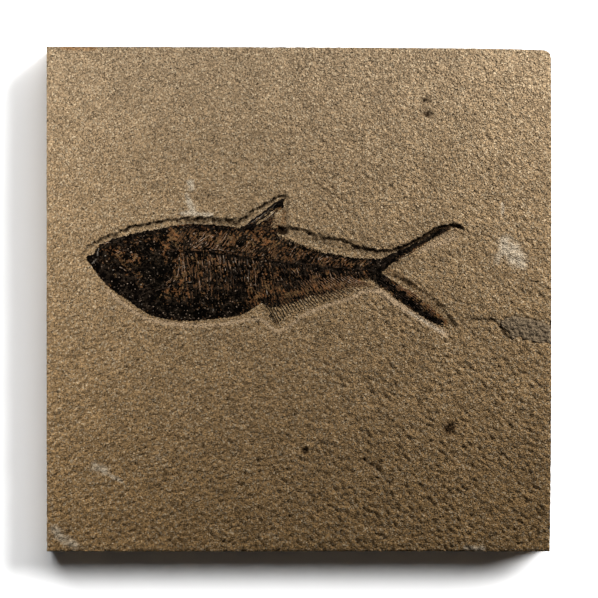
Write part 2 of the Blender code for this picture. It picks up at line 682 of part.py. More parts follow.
def main():
    """Build the slab and the two fossils in it."""
    clear_scene()
    fish_outline = closed_outline(FISH_STRETCHES, FISH_STEP)
    scrap_outline = closed_outline(SCRAP_STRETCHES, SCRAP_EDGE_STEP)
    build_slab(fish_outline, scrap_outline)
    build_fish(fish_outline)
    build_scrap(scrap_outline)


main()
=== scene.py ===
"""A fossil fish slab: a square tile of sandy stone with a fossil herring in a shallow trough.

The tile's face, the fish's flaky skin and the fossil scrap are dense relief meshes. The bones,
fin rays and hairline veins, the vertebrae, the loose flakes of scale and the coarse sand grains
are made by Geometry Nodes on top of them. Lengths are in millimetres, and meshes are made in
metres. +X is towards the fish's tail, +Y towards its back, and +Z up.
"""

import logging
import math
from collections.abc import Callable, Iterable, Sequence
from dataclasses import dataclass, field
from enum import Enum

import bpy
import numpy as np
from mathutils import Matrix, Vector, noise
from mathutils.geometry import delaunay_2d_cdt
from mathutils.kdtree import KDTree


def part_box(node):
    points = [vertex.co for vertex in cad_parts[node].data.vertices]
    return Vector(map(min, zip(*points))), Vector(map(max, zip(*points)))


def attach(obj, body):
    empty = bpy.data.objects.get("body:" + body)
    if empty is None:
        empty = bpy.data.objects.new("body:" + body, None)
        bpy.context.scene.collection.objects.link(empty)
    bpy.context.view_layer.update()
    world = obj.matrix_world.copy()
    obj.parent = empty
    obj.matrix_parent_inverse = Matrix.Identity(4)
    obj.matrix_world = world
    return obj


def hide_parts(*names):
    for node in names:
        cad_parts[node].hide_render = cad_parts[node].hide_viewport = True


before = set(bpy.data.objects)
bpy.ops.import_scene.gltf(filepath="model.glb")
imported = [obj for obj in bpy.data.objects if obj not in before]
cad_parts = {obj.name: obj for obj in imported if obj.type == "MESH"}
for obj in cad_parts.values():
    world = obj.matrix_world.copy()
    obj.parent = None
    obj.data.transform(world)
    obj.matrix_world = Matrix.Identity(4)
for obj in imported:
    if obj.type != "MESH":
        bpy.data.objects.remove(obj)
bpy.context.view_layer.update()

log = logging.getLogger("fossil_fish_slab")

MM = 0.001

# The kind of output that makes delaunay_2d_cdt join all its points into triangles, and how close two
# places have to be for it to take them for one.
ALL_TRIANGLES = 0
SAME_PLACE = 1e-6

# How far a lattice's points are nudged at most, as a share of its step.
MOST_NUDGE = 0.28

Places = np.ndarray
Heights = np.ndarray
Faces = np.ndarray
Colour = tuple[float, float, float]
Point = tuple[float, float]
Piece = bpy.types.Object
Socket = bpy.types.NodeSocket
Inputs = dict[str | int, object]
# Some unevenness: how strong it is, about how long its lumps are, and its seed.
Waves = tuple[float, float, float]

# The tile's four sides, seen from above, and its worn far right corner.
TILE_SIDES = (
    ((-75.0, 75.0), (-30.0, 74.9), (20.0, 74.7), (55.0, 74.4), (72.6, 74.0)),
    ((72.6, 74.0), (74.3, 73.2), (74.9, 71.4)),
    ((74.9, 71.4), (75.0, 40.0), (75.0, 0.0), (74.9, -40.0), (74.5, -75.0)),
    ((74.5, -75.0), (30.0, -74.9), (-30.0, -75.0), (-74.9, -74.9)),
    ((-74.9, -74.9), (-75.0, -20.0), (-75.0, 30.0), (-75.0, 75.0)),
)

# The fish's outline, as smooth stretches that meet at its corners, from the snout round by the back.
BACK = (
    (-63.5, 12.5), (-62.2, 12.9), (-60.9, 13.6), (-60.1, 15.3), (-58.6, 16.6), (-54.5, 18.1),
    (-47.1, 20.0), (-41.1, 21.0), (-33.7, 22.2), (-26.3, 22.1), (-17.4, 21.2),
)
DORSAL_LEADING = ((-17.4, 21.2), (-14.5, 23.1), (-11.5, 25.3), (-8.5, 27.6), (-6.2, 29.2), (-4.2, 29.9))
DORSAL_TRAILING = ((-4.2, 29.9), (-4.7, 27.8), (-5.8, 24.2), (-6.5, 19.6))
BACK_BEHIND_FIN = ((-6.5, 19.6), (1.8, 16.3), (10.7, 13.3), (16.7, 12.2), (24.1, 11.9))
UPPER_LOBE_TOP = (
    (24.1, 11.9), (30.0, 14.5), (33.6, 16.0), (37.1, 17.8), (40.1, 19.7), (42.4, 20.9),
    (45.4, 21.3), (47.8, 21.1),
)
UPPER_LOBE_TIP = ((47.8, 21.1), (47.8, 20.4))
UPPER_LOBE_UNDER = (
    (47.8, 20.4), (44.8, 20.0), (41.9, 18.7), (38.9, 16.9), (35.9, 15.0), (32.7, 13.0),
    (29.4, 11.2), (27.0, 9.8), (25.2, 7.6),
)
LOWER_LOBE_TOP = (
    (25.2, 7.6), (28.2, 5.3), (31.2, 3.6), (34.1, 2.1), (37.1, -0.3), (40.1, -3.0),
    (43.0, -5.3), (45.0, -8.0),
)
LOWER_LOBE_TIP = ((45.0, -8.0), (44.5, -8.7))
LOWER_LOBE_UNDER = (
    (44.5, -8.7), (41.9, -7.7), (38.9, -6.4), (35.3, -4.3), (31.8, -1.9), (28.5, 0.4),
    (25.5, 3.0), (22.6, 4.3),
)
ANAL_MARGIN = (
    (22.6, 4.3), (18.1, 2.7), (13.7, 0.6), (9.2, -0.9), (4.8, -2.1), (0.4, -3.7),
    (-2.6, -5.3), (-5.2, -7.1),
)
ANAL_LEADING = ((-5.2, -7.1), (-6.9, -7.2), (-9.1, -4.6), (-10.9, -0.7))
BELLY = (
    (-10.9, -0.7), (-13.9, -3.0), (-18.0, -5.0), (-24.8, -5.8), (-32.2, -6.5), (-38.8, -6.1),
    (-43.5, -5.0), (-47.7, -2.7), (-51.8, 0.3), (-56.3, 3.3), (-59.5, 6.8), (-62.2, 10.4),
    (-63.5, 12.5),
)
FISH_STRETCHES = (
    BACK, DORSAL_LEADING, DORSAL_TRAILING, BACK_BEHIND_FIN, UPPER_LOBE_TOP, UPPER_LOBE_TIP,
    UPPER_LOBE_UNDER, LOWER_LOBE_TOP, LOWER_LOBE_TIP, LOWER_LOBE_UNDER, ANAL_MARGIN,
    ANAL_LEADING, BELLY,
)

# The trough's crest, where its walls meet the tile's face.
CREST_ABOVE = (
    (-65.6, 12.2), (-64.0, 15.2), (-61.0, 16.9), (-57.7, 18.5), (-53.6, 20.3), (-50.0, 21.8),
    (-44.1, 23.0), (-36.7, 24.0), (-29.3, 24.5), (-21.9, 24.0), (-17.4, 23.9), (-13.9, 26.4),
    (-10.3, 28.8), (-6.8, 30.3), (-4.2, 30.9), (-3.0, 29.6), (-3.2, 25.8), (-2.6, 21.9),
    (0.9, 20.9), (6.3, 19.1), (12.8, 18.1), (16.7, 16.4), (21.1, 15.3), (25.5, 14.8),
    (29.4, 15.4), (33.2, 16.9), (37.0, 18.9), (40.2, 20.9), (43.4, 22.0), (48.0, 22.0), (49.3, 20.6),
)
CREST_IN_TAIL = (
    (49.3, 20.6), (47.6, 17.4), (43.3, 15.3), (38.9, 13.4), (34.7, 11.4), (31.2, 9.8),
    (29.2, 8.0), (31.4, 6.4), (35.0, 4.8), (38.9, 2.0), (42.5, -1.6), (45.2, -4.9), (47.0, -8.6),
)
CREST_BELOW = (
    (47.0, -8.6), (44.9, -11.3), (41.9, -10.4), (37.4, -8.0), (33.0, -4.9), (28.8, -1.5),
    (25.8, 1.4), (19.6, 0.9), (15.2, -0.6), (10.7, -2.2), (5.7, -3.6), (1.5, -5.2),
    (-1.7, -7.1), (-4.4, -9.5), (-6.7, -10.2), (-9.1, -8.9), (-11.5, -6.3), (-13.0, -5.5),
    (-15.9, -6.8), (-20.4, -8.0), (-26.3, -8.6), (-33.7, -8.6), (-39.7, -8.1), (-44.7, -6.8),
    (-48.6, -4.6), (-53.0, -1.5), (-57.7, 2.0), (-61.4, 5.8), (-64.2, 9.4), (-65.6, 12.2),
)
CREST_STRETCHES = (CREST_ABOVE, CREST_IN_TAIL, CREST_BELOW)

# The fossil scrap's outline, cut off just inside the tile's right side.
SCRAP_END = 74.75
SCRAP_STRETCHES = (
    (
        (73.2, -13.2), (70.5, -12.9), (67.0, -12.1), (64.8, -11.5), (63.3, -12.0), (62.4, -10.2),
        (61.2, -8.7), (59.9, -7.5), (60.3, -6.4), (62.8, -5.2), (66.2, -5.4), (70.0, -6.2), (73.2, -7.3),
    ),
    ((73.2, -7.3), (SCRAP_END, -7.8)),
    ((SCRAP_END, -7.8), (SCRAP_END, -13.4)),
    ((SCRAP_END, -13.4), (73.2, -13.2)),
)

# How closely the outlines of the fish and the scrap are sampled, and how ragged they are.
RIM_STEP = 0.24
FISH_WAVES = (0.2, 0.7, 5.7)
SCRAP_WAVES = (0.1, 0.8, 1.7)

BACKBONE = (
    (-40.5, 14.4), (-32.2, 14.6), (-23.4, 13.9), (-17.4, 13.1), (-11.5, 12.0), (-5.6, 11.2),
    (0.4, 10.5), (6.3, 9.9), (12.2, 9.3), (18.1, 8.8), (23.6, 8.3),
)


def curve_through(points: Sequence[Point], step: float) -> Places:
    """Evenly spaced points on a smooth curve through the given ones.

    Args:
        points: The places that the curve passes through.
        step: About how far apart the points come out.

    Returns:
        The points, from the first given one to the last.
    """
    given = np.asarray(points, float)
    padded = np.vstack([2 * given[0] - given[1], given, 2 * given[-1] - given[-2]])
    share = np.linspace(0, 1, 16, endpoint=False)[:, None]
    spans = []
    for before, start, end, after in zip(padded, padded[1:], padded[2:], padded[3:]):
        linear = (end - before) * share
        square = (2 * before - 5 * start + 4 * end - after) * share**2
        cube = (3 * start - before - 3 * end + after) * share**3
        spans.append(start + 0.5 * (linear + square + cube))
    return spaced(np.vstack(spans + [given[-1:]]), step)


def spaced(line: Places, step: float) -> Places:
    """Points about a step apart along a line of points.

    Args:
        line: The line's points.
        step: About how far apart they come out.

    Returns:
        The points, from the line's start to its end.
    """
    along = np.concatenate([[0], np.cumsum(np.linalg.norm(np.diff(line, axis=0), axis=1))])
    wanted = np.linspace(0, along[-1], max(1, round(along[-1] / step)) + 1)
    return np.column_stack([np.interp(wanted, along, line[:, axis]) for axis in (0, 1)])


def closed_outline(stretches: Iterable[Sequence[Point]], step: float) -> Places:
    """One closed outline, without its first point repeated, from stretches that meet at corners."""
    return np.vstack([curve_through(stretch, step)[:-1] for stretch in stretches])


def sideways(line: Places) -> Places:
    """The direction to the left of a line at each of its points."""
    run = np.gradient(line, axis=0)
    return np.column_stack([-run[:, 1], run[:, 0]]) / np.linalg.norm(run, axis=1)[:, None]


def unevenness(places: Places, length: float, seed: float) -> Heights:
    """Smooth noise between about -1 and 1, with lumps about a length across."""
    scaled = np.column_stack([places / length, np.full(len(places), seed)])
    return 2 * np.array([noise.noise(place) for place in scaled.tolist()])


def uneven(places: Places, *waves: Waves) -> Heights:
    """The sum of some unevenness at each place."""
    return sum(amount * unevenness(places, length, seed) for amount, length, seed in waves)


def ragged(outline: Places, waves: Waves) -> Places:
    """An outline with every point pushed in or out by noise.

    Args:
        outline: The closed outline.
        waves: How far a point is pushed at most, about how long the waves are, and their seed.

    Returns:
        The ragged outline.
    """
    push = uneven(outline, waves)
    closed = np.vstack([outline[-1:], outline, outline[:1]])
    return outline + push[:, None] * sideways(closed)[1:-1]


def is_inside(places: Places, outline: Places) -> np.ndarray:
    """Whether each place lies inside a closed outline.

    Args:
        places: The places.
        outline: The closed outline.

    Returns:
        True at each place inside it.
    """
    inside = np.zeros(len(places), bool)
    x, y = places[:, 0], places[:, 1]
    for (x0, y0), (x1, y1) in zip(outline, np.roll(outline, -1, axis=0)):
        if y0 != y1:
            crosses = (y0 > y) != (y1 > y)
            inside ^= crosses & (x < x0 + (y - y0) * (x1 - x0) / (y1 - y0))
    return inside


def lattice(low: Point, high: Point, step: float, seed: int) -> Places:
    """Points of a hexagonal lattice between two corners, each nudged at random.

    Args:
        low: The lower left corner.
        high: The upper right corner.
        step: How far apart neighbours are before they are nudged.
        seed: Seed of the nudges.

    Returns:
        The points.
    """
    random = np.random.default_rng(seed)
    rows = np.arange(low[1] + step / 2, high[1], step * math.sqrt(3) / 2)
    across = np.arange(low[0] + step / 2, high[0], step)
    x, y = np.meshgrid(across, rows)
    x[1::2] += step / 2
    points = np.column_stack([x.ravel(), y.ravel()])
    return points + random.uniform(-MOST_NUDGE, MOST_NUDGE, points.shape) * step


def eased(share: np.ndarray) -> np.ndarray:
    """A share from 0 to 1, with a soft start and a soft end."""
    share = np.clip(share, 0, 1)
    return share * share * (3 - 2 * share)


class Course:
    """A line on the tile that places are measured from."""

    def __init__(self, line: Places, closed: bool = False, spacing: float = 0.12) -> None:
        """Sample the line closely.

        Args:
            line: The line's points.
            closed: Whether its last point joins its first.
            spacing: How far apart the samples are.
        """
        whole = np.vstack([line, line[:1]]) if closed else np.asarray(line, float)
        self.samples = spaced(whole, spacing)
        self.tree = KDTree(len(self.samples))
        for index, (x, y) in enumerate(self.samples):
            self.tree.insert((x, y, 0.0), index)
        self.tree.balance()

    def nearest(self, places: Places) -> Places:
        """The nearest sample to each place."""
        return self.samples[[self.tree.find((x, y, 0.0))[1] for x, y in places]]

    def distance(self, places: Places) -> np.ndarray:
        """How far each place is from the line."""
        return np.array([self.tree.find((x, y, 0.0))[2] for x, y in places])


@dataclass(frozen=True)
class Smudge:
    """A soft mark on a surface: along a path, or round a single place."""

    path: tuple[Point, ...]
    half_width: float
    strength: float = 1.0

    def cover(self, places: Places) -> np.ndarray:
        """How strongly the mark covers each place.

        Args:
            places: The places.

        Returns:
            The mark's strength on its path, falling away past its half width.
        """
        line = np.array(self.path)
        line = np.vstack([line, line + 0.01]) if len(line) == 1 else line
        near = Course(line).distance(places) / self.half_width
        return self.strength * np.exp(-(near**2))


def marks(smudges: Iterable[Smudge], places: Places) -> np.ndarray:
    """The sum of some marks at each place."""
    return sum((smudge.cover(places) for smudge in smudges), np.zeros(len(places)))


# Meshes.


def facing_up(points: np.ndarray, faces: Faces) -> Faces:
    """The faces, each turned to run anticlockwise seen from above.

    Args:
        points: The points.
        faces: The triangles that join them.

    Returns:
        The turned triangles.
    """
    first, second, third = (points[faces[:, corner], :2] for corner in range(3))
    one, other = second - first, third - first
    down = one[:, 0] * other[:, 1] - one[:, 1] * other[:, 0] < 0
    return np.where(down[:, None], faces[:, ::-1], faces)


def rim_of(faces: Faces) -> np.ndarray:
    """The points round the edge of an open surface, in order, anticlockwise from above.

    Args:
        faces: The surface's triangles, all facing up.

    Returns:
        The numbers of the edge's points.
    """
    sides = np.concatenate([faces[:, [0, 1]], faces[:, [1, 2]], faces[:, [2, 0]]])
    known = set(map(tuple, sides.tolist()))
    after = {start: end for start, end in known if (end, start) not in known}
    ring = [next(iter(after))]
    while after[ring[-1]] != ring[0]:
        ring.append(after[ring[-1]])
        if len(ring) > len(after):
            raise ValueError("the surface's edge isn't one ring")
    return np.array(ring)


def surface(field_points: Places, outline: Places) -> tuple[Places, Faces]:
    """The triangles that join some places inside an outline.

    Args:
        field_points: Places inside the outline.
        outline: The closed outline.

    Returns:
        The places with the outline's own first, and the triangles, all facing up.
    """
    flat = np.vstack([outline, field_points]).astype(np.float32).astype(float)
    count = len(outline)
    edges = [(at, (at + 1) % count) for at in range(count)]
    spots = [Vector(place) for place in flat.tolist()]
    found = delaunay_2d_cdt(spots, edges, [], ALL_TRIANGLES, SAME_PLACE, False)
    places = np.array([tuple(place) for place in found[0]])
    faces = np.array([face for face in found[2]])
    faces = faces[is_inside(places[faces].mean(axis=1), flat[:count])]
    used, faces = np.unique(faces, return_inverse=True)
    places, faces = places[used], faces.reshape(-1, 3)
    return places, facing_up(places, faces)


def close_below(
    points: np.ndarray, faces: Faces, lower_rings: Callable[[np.ndarray], Iterable[np.ndarray]]
) -> tuple[np.ndarray, list[list[int]]]:
    """Close a surface into a solid, down its sides by rings of points, to a flat underside.

    Args:
        points: The surface's points.
        faces: Its triangles.
        lower_rings: Gives the rings of points under the surface's rim, from the top down.

    Returns:
        All points and all faces.
    """
    ring = rim_of(faces)
    all_faces = faces.tolist()
    all_points = [points]
    above = ring
    first = len(points)
    for lower in lower_rings(points[ring]):
        below = np.arange(first, first + len(ring))
        beside = zip(above, np.roll(above, -1), np.roll(below, -1), below)
        all_faces += [[int(b), int(a), int(d), int(c)] for a, b, c, d in beside]
        all_points.append(lower)
        above, first = below, first + len(ring)
    all_faces.append([int(corner) for corner in above[::-1]])
    return np.vstack(all_points), all_faces


def piece_of(name: str, points: np.ndarray, faces: Sequence[Sequence[int]]) -> Piece:
    """A smooth mesh object at the origin, from points in millimetres.

    Args:
        name: The object's name.
        points: Its points.
        faces: Its faces, as numbers of points.

    Returns:
        The object.
    """
    mesh = bpy.data.meshes.new(name)
    mesh.from_pydata((np.asarray(points) * MM).tolist(), [], faces)
    mesh.shade_smooth()
    piece = bpy.data.objects.new(name, mesh)
    bpy.context.scene.collection.objects.link(piece)
    return piece


def paint(piece: Piece, name: str, values: np.ndarray) -> None:
    """Store one number for each point of a piece, for its material to read."""
    layer = piece.data.attributes.new(name, "FLOAT", "POINT")
    layer.data.foreach_set("value", np.asarray(values, np.float32))


def hand_over(piece: Piece, slot: str, *nodes: str) -> Piece:
    """Ride a finished piece on the one body, and stand it for its solids.

    Args:
        piece: The piece.
        slot: The slot of the material that it shows; not used.
        nodes: The solids that it stands for, if any.

    Returns:
        The piece.
    """
    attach(piece, "root")
    if nodes:
        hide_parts(*nodes)
    log.info("%s: %d faces", piece.name, len(piece.data.polygons))
    return piece


# Node trees.


class Tree:
    """A node tree being wired up."""

    def __init__(self, tree: bpy.types.NodeTree) -> None:
        """Take the tree that the nodes go into."""
        self.tree = tree

    def add(self, kind: str, inputs: Inputs | None = None, **settings: object) -> bpy.types.Node:
        """Add a node.

        Args:
            kind: The node's type.
            inputs: A value, or another node's output, for each input by name or place.
            settings: The node's own settings.

        Returns:
            The node.
        """
        node = self.tree.nodes.new(kind)
        for name, value in settings.items():
            setattr(node, name, value)
        for key, value in (inputs or {}).items():
            if isinstance(value, Socket):
                self.tree.links.new(value, node.inputs[key])
            else:
                node.inputs[key].default_value = value
        return node

    def math(self, operation: str, one: object, other: object = 0.0) -> Socket:
        """The result of a sum on one or two numbers."""
        return self.add("ShaderNodeMath", {0: one, 1: other}, operation=operation).outputs[0]


class Surface(Tree):
    """A Principled material being wired up, patterned in millimetres on Object coordinates."""

    def __init__(self, name: str) -> None:
        """Start a material of that name.

        Args:
            name: The material's name.
        """
        self.material = bpy.data.materials.new(name)
        self.material.use_nodes = True
        super().__init__(self.material.node_tree)
        self.shader = self.tree.nodes["Principled BSDF"]
        self.place = self.add("ShaderNodeTexCoord").outputs["Object"]

    def grain(self, length: float, detail: float = 2.0, roughness: float = 0.55) -> Socket:
        """Noise with lumps of about that length, between 0 and 1."""
        sizes = {"Vector": self.place, "Scale": 1 / (length * MM), "Detail": detail, "Roughness": roughness}
        return self.add("ShaderNodeTexNoise", sizes).outputs["Fac"]

    def cells(self, length: float, output: str = "Color") -> Socket:
        """A random colour for each cell, or the distance from its middle, in cells of that length."""
        sizes = {"Vector": self.place, "Scale": 1 / (length * MM)}
        return self.add("ShaderNodeTexVoronoi", sizes).outputs[output]

    def painted(self, name: str) -> Socket:
        """The number stored on the piece under that name."""
        return self.add("ShaderNodeAttribute", attribute_name=name).outputs["Fac"]

    def spread(
        self, value: object, low: float, high: float, to_low: float = 0.0, to_high: float = 1.0
    ) -> Socket:
        """A value's range stretched onto another, and held inside it.

        Args:
            value: The value.
            low: Where its range starts.
            high: Where its range ends.
            to_low: What the start becomes.
            to_high: What the end becomes.

        Returns:
            The stretched value.
        """
        ranges = {0: value, 1: low, 2: high, 3: to_low, 4: to_high}
        return self.add("ShaderNodeMapRange", ranges).outputs[0]

    def mix(self, share: object, one: object, other: object, blend: str = "MIX") -> Socket:
        """One colour going over into another."""
        ends = {0: share, 6: as_colour(one), 7: as_colour(other)}
        return self.add("ShaderNodeMix", ends, data_type="RGBA", blend_type=blend).outputs[2]

    def bump(self, height: Socket, depth: float, under: Socket | None = None) -> Socket:
        """The normal of a surface raised by a height, over another bump.

        Args:
            height: The height, between 0 and 1.
            depth: How high 1 stands.
            under: The normal of a coarser bump under this one.

        Returns:
            The normal.
        """
        inputs: Inputs = {"Height": height, "Distance": depth * MM, "Strength": 1.0}
        if under:
            inputs["Normal"] = under
        return self.add("ShaderNodeBump", inputs).outputs[0]

    def finish(self, colour: Socket, normal: Socket, **sockets: object) -> bpy.types.Material:
        """Wire up the shader.

        Args:
            colour: The base colour.
            normal: The normal.
            sockets: Other values of the shader, by name with _ for a space.

        Returns:
            The finished material.
        """
        wanted = {"Base Color": colour, "Normal": normal}
        wanted |= {name.replace("_", " "): value for name, value in sockets.items()}
        for name, value in wanted.items():
            if isinstance(value, Socket):
                self.tree.links.new(value, self.shader.inputs[name])
            else:
                self.shader.inputs[name].default_value = value
        return self.material


def as_colour(value: object) -> object:
    """A colour with its alpha, or the socket it was."""
    return (*value, 1.0) if isinstance(value, tuple) and len(value) == 3 else value


@dataclass(frozen=True)
class SandyStone:
    """Matt pale brown stone of cemented grains, with chalky scuffs, rust stains and sooty marks, painted
    shade in its pits, its crack and its trough, and painted highlight along the trough's lit walls.
    """

    base: Colour = (0.256, 0.18, 0.1045)
    brown_without_sheen: Colour = (0.285, 0.173, 0.073)
    dark_grain: Colour = (0.10, 0.066, 0.036)
    pale_grain: Colour = (0.40, 0.31, 0.20)
    chalk_and_lit: Colour = (0.50, 0.42, 0.31)
    rust: Colour = (0.20, 0.095, 0.03)
    # The dark colour of sooty marks and of painted shade.
    soot_and_shade: Colour = (0.021, 0.011, 0.004)
    fresh_and_lit: Colour = (0.40, 0.285, 0.175)
    grain_length: float = 0.42
    grain_depth: float = 1.3

    def tone(self, wiring: Surface) -> Socket:
        """The stone's colour: more brown towards the tile's near side, paler and greyer towards its far side
        as a painted sheen from the lamps there, with dark and pale grains.

        Args:
            wiring: The material that it is wired into.

        Returns:
            The colour.
        """
        speck = wiring.add("ShaderNodeSeparateColor", {0: wiring.cells(self.grain_length)}).outputs
        up = wiring.add("ShaderNodeSeparateXYZ", {0: wiring.place}).outputs[1]
        # Painted sheen: the stone is paler and greyer towards the lamps at the tile's far side.
        tone = wiring.mix(wiring.spread(up, 0.071, -0.065), self.base, self.brown_without_sheen)
        tone = wiring.mix(wiring.spread(speck[0], 0.0, 0.3, 0.62, 0.0), tone, self.dark_grain)
        tone = wiring.mix(wiring.spread(speck[1], 0.7, 1.0, 0.0, 0.9), tone, self.pale_grain)
        mottle = wiring.spread(wiring.grain(7.0, 4.0), 0.3, 0.7, 0.88, 1.1)
        mottle = wiring.math("MULTIPLY", mottle, wiring.spread(wiring.grain(0.5, 1.0), 0.3, 0.7, 0.66, 1.34))
        mottle = wiring.math("MULTIPLY", mottle, wiring.spread(wiring.painted("tint"), -1.0, 1.0, 0.7, 1.3))
        grey = wiring.add("ShaderNodeCombineColor", {0: mottle, 1: mottle, 2: mottle}).outputs[0]
        return wiring.mix(1.0, tone, grey, "MULTIPLY")

    def material(self) -> bpy.types.Material:
        """The material, which reads the scraped and lit band, rust, chalky marks with a painted highlight,
        sooty marks with painted shade, and its grains' tint from the piece.

        Returns:
            The material.
        """
        wiring = Surface("sandy_stone")
        tone = self.tone(wiring)
        break_up = wiring.spread(wiring.grain(1.0, 3.0, 0.7), 0.35, 0.65, -0.55, 0.5)
        coats = (
            ("fresh_and_lit", self.fresh_and_lit, 0.8), ("rust", self.rust, 0.7),
            ("chalk_and_lit", self.chalk_and_lit, 0.75), ("soot_and_shade", self.soot_and_shade, 1.0),
        )
        for name, colour, most in coats:
            amount = wiring.painted(name)
            cover = wiring.math("ADD", amount, wiring.math("MULTIPLY", break_up, amount))
            tone = wiring.mix(wiring.spread(cover, 0.12, 0.75, 0.0, most), tone, colour)
        normal = wiring.bump(wiring.grain(0.52, 1.0, 0.75), self.grain_depth)
        normal = wiring.bump(wiring.cells(self.grain_length, "Distance"), 0.28, normal)
        return wiring.finish(tone, normal, Roughness=0.95, Specular_IOR_Level=0.08)


@dataclass(frozen=True)
class FossilSkin:
    """Carbon-black and brown fossil skin and scales, with stone showing where it is thin."""

    coal: Colour = (0.0012, 0.0008, 0.0005)
    ash: Colour = (0.024, 0.0165, 0.0105)
    umber: Colour = (0.053, 0.026, 0.0115)
    russet: Colour = (0.165, 0.070, 0.026)
    ochre: Colour = (0.135, 0.080, 0.034)
    crumb: Colour = (0.235, 0.168, 0.118)
    stone: SandyStone = field(default_factory=SandyStone)
    fleck_length: float = 0.62

    def material(self) -> bpy.types.Material:
        """The material, which reads coal, amber, thin, loose and its flakes' tint from the piece.

        Returns:
            The material.
        """
        wiring = Surface("fossil_skin")
        tint = wiring.painted("tint")
        fleck = wiring.spread(wiring.grain(self.fleck_length, 2.0, 0.6), 0.32, 0.68)
        flake = wiring.add("ShaderNodeSeparateColor", {0: wiring.cells(0.55)}).outputs
        warmth = wiring.math("ADD", wiring.painted("amber"), wiring.spread(flake[0], 0.0, 1.0, -0.45, 0.45))
        brown = wiring.mix(wiring.spread(wiring.grain(1.7, 2.0), 0.42, 0.58), self.russet, self.ochre)
        tone = wiring.mix(wiring.spread(warmth, 0.1, 0.9), self.umber, brown)
        dark = wiring.math("SUBTRACT", wiring.painted("coal"), fleck)
        dark = wiring.math("ADD", dark, wiring.spread(flake[1], 0.0, 1.0, -0.2, 0.2))
        dark = wiring.math("SUBTRACT", dark, wiring.math("MULTIPLY", tint, 0.4))
        seams = wiring.spread(wiring.cells(1.15, "Distance"), 0.42, 0.75, 0.0, 0.4)
        dark = wiring.math("ADD", dark, seams)
        dust = wiring.spread(wiring.grain(2.6, 2.0), 0.42, 0.6)
        dust = wiring.math("MULTIPLY", dust, wiring.spread(flake[2], 0.3, 1.0))
        black = wiring.mix(dust, self.coal, self.ash)
        tone = wiring.mix(wiring.spread(dark, -0.17, 0.15), tone, black)
        loose = wiring.math("MULTIPLY", wiring.spread(tint, 0.5, 0.95), wiring.painted("loose"))
        tone = wiring.mix(loose, tone, self.crumb)
        bare = wiring.spread(wiring.grain(0.5, 2.0), 0.3, 0.7, -0.3, 0.3)
        bare = wiring.math("ADD", wiring.painted("thin"), bare)
        tone = wiring.mix(wiring.spread(bare, 0.35, 0.65), tone, self.stone.tone(wiring))
        roughness = wiring.spread(bare, 0.35, 0.65, 0.3, 1.0)
        rough = wiring.math("MULTIPLY", wiring.grain(0.52, 1.0, 0.75), roughness)
        normal = wiring.bump(rough, self.stone.grain_depth)
        gloss = wiring.spread(wiring.grain(0.6, 2.0), 0.35, 0.65, 0.5, 0.85)
        return wiring.finish(tone, normal, Roughness=gloss, Specular_IOR_Level=0.01)


@dataclass(frozen=True)
class FossilBone:
    """Thin bones and rays, from black through brown to pale by each strand's own tone."""

    coal: Colour = (0.0035, 0.0025, 0.0018)
    brown: Colour = (0.14, 0.072, 0.034)
    pale: Colour = (0.46, 0.39, 0.31)

    def material(self) -> bpy.types.Material:
        """The material, which reads tone and coal from the piece.

        Returns:
            The material.
        """
        wiring = Surface("fossil_bone")
        tone = wiring.spread(wiring.grain(0.7, 3.0), 0.3, 0.7, -0.22, 0.22)
        tone = wiring.math("ADD", wiring.painted("tone"), tone)
        colour = wiring.mix(wiring.spread(tone, 0.05, 0.5), self.coal, self.brown)
        colour = wiring.mix(wiring.spread(tone, 0.5, 1.0), colour, self.pale)
        dark = wiring.math("SUBTRACT", wiring.painted("coal"), wiring.grain(1.1, 3.0))
        colour = wiring.mix(wiring.spread(dark, 0.0, 0.5, 0.0, 0.85), colour, self.coal)
        normal = wiring.bump(wiring.grain(0.4, 2.0), 0.05)
        return wiring.finish(colour, normal, Roughness=0.6, Specular_IOR_Level=0.05)


@dataclass(frozen=True)
class ScrapCrust:
    """Greyish brown lumps of a weathered second fossil."""

    base: Colour = (0.165, 0.117, 0.068)
    dark: Colour = (0.055, 0.038, 0.022)
    pale: Colour = (0.270, 0.200, 0.122)

    def material(self) -> bpy.types.Material:
        """The crust's material, with pale patches.

        Returns:
            The material.
        """
        wiring = Surface("scrap_crust")
        tone = wiring.mix(wiring.spread(wiring.grain(0.9, 3.0, 0.7), 0.36, 0.54), self.dark, self.base)
        tone = wiring.mix(wiring.spread(wiring.grain(0.6, 2.0, 0.7), 0.52, 0.72), tone, self.pale)
        normal = wiring.bump(wiring.grain(0.52, 1.0, 0.75), 1.0)
        return wiring.finish(tone, normal, Roughness=0.85, Specular_IOR_Level=0.25)


@dataclass(frozen=True)
class PaleFloor:
    """Plain matt white paper."""

    colour: Colour = (0.86, 0.86, 0.86)

    def material(self) -> bpy.types.Material:
        """The paper's material, with the faintest mottle.

        Returns:
            The material.
        """
        wiring = Surface("white_paper")
        tone = wiring.mix(wiring.grain(30.0), self.colour, tuple(0.99 * part for part in self.colour))
        return wiring.finish(tone, wiring.bump(wiring.grain(1.0), 0.002), Roughness=0.9)


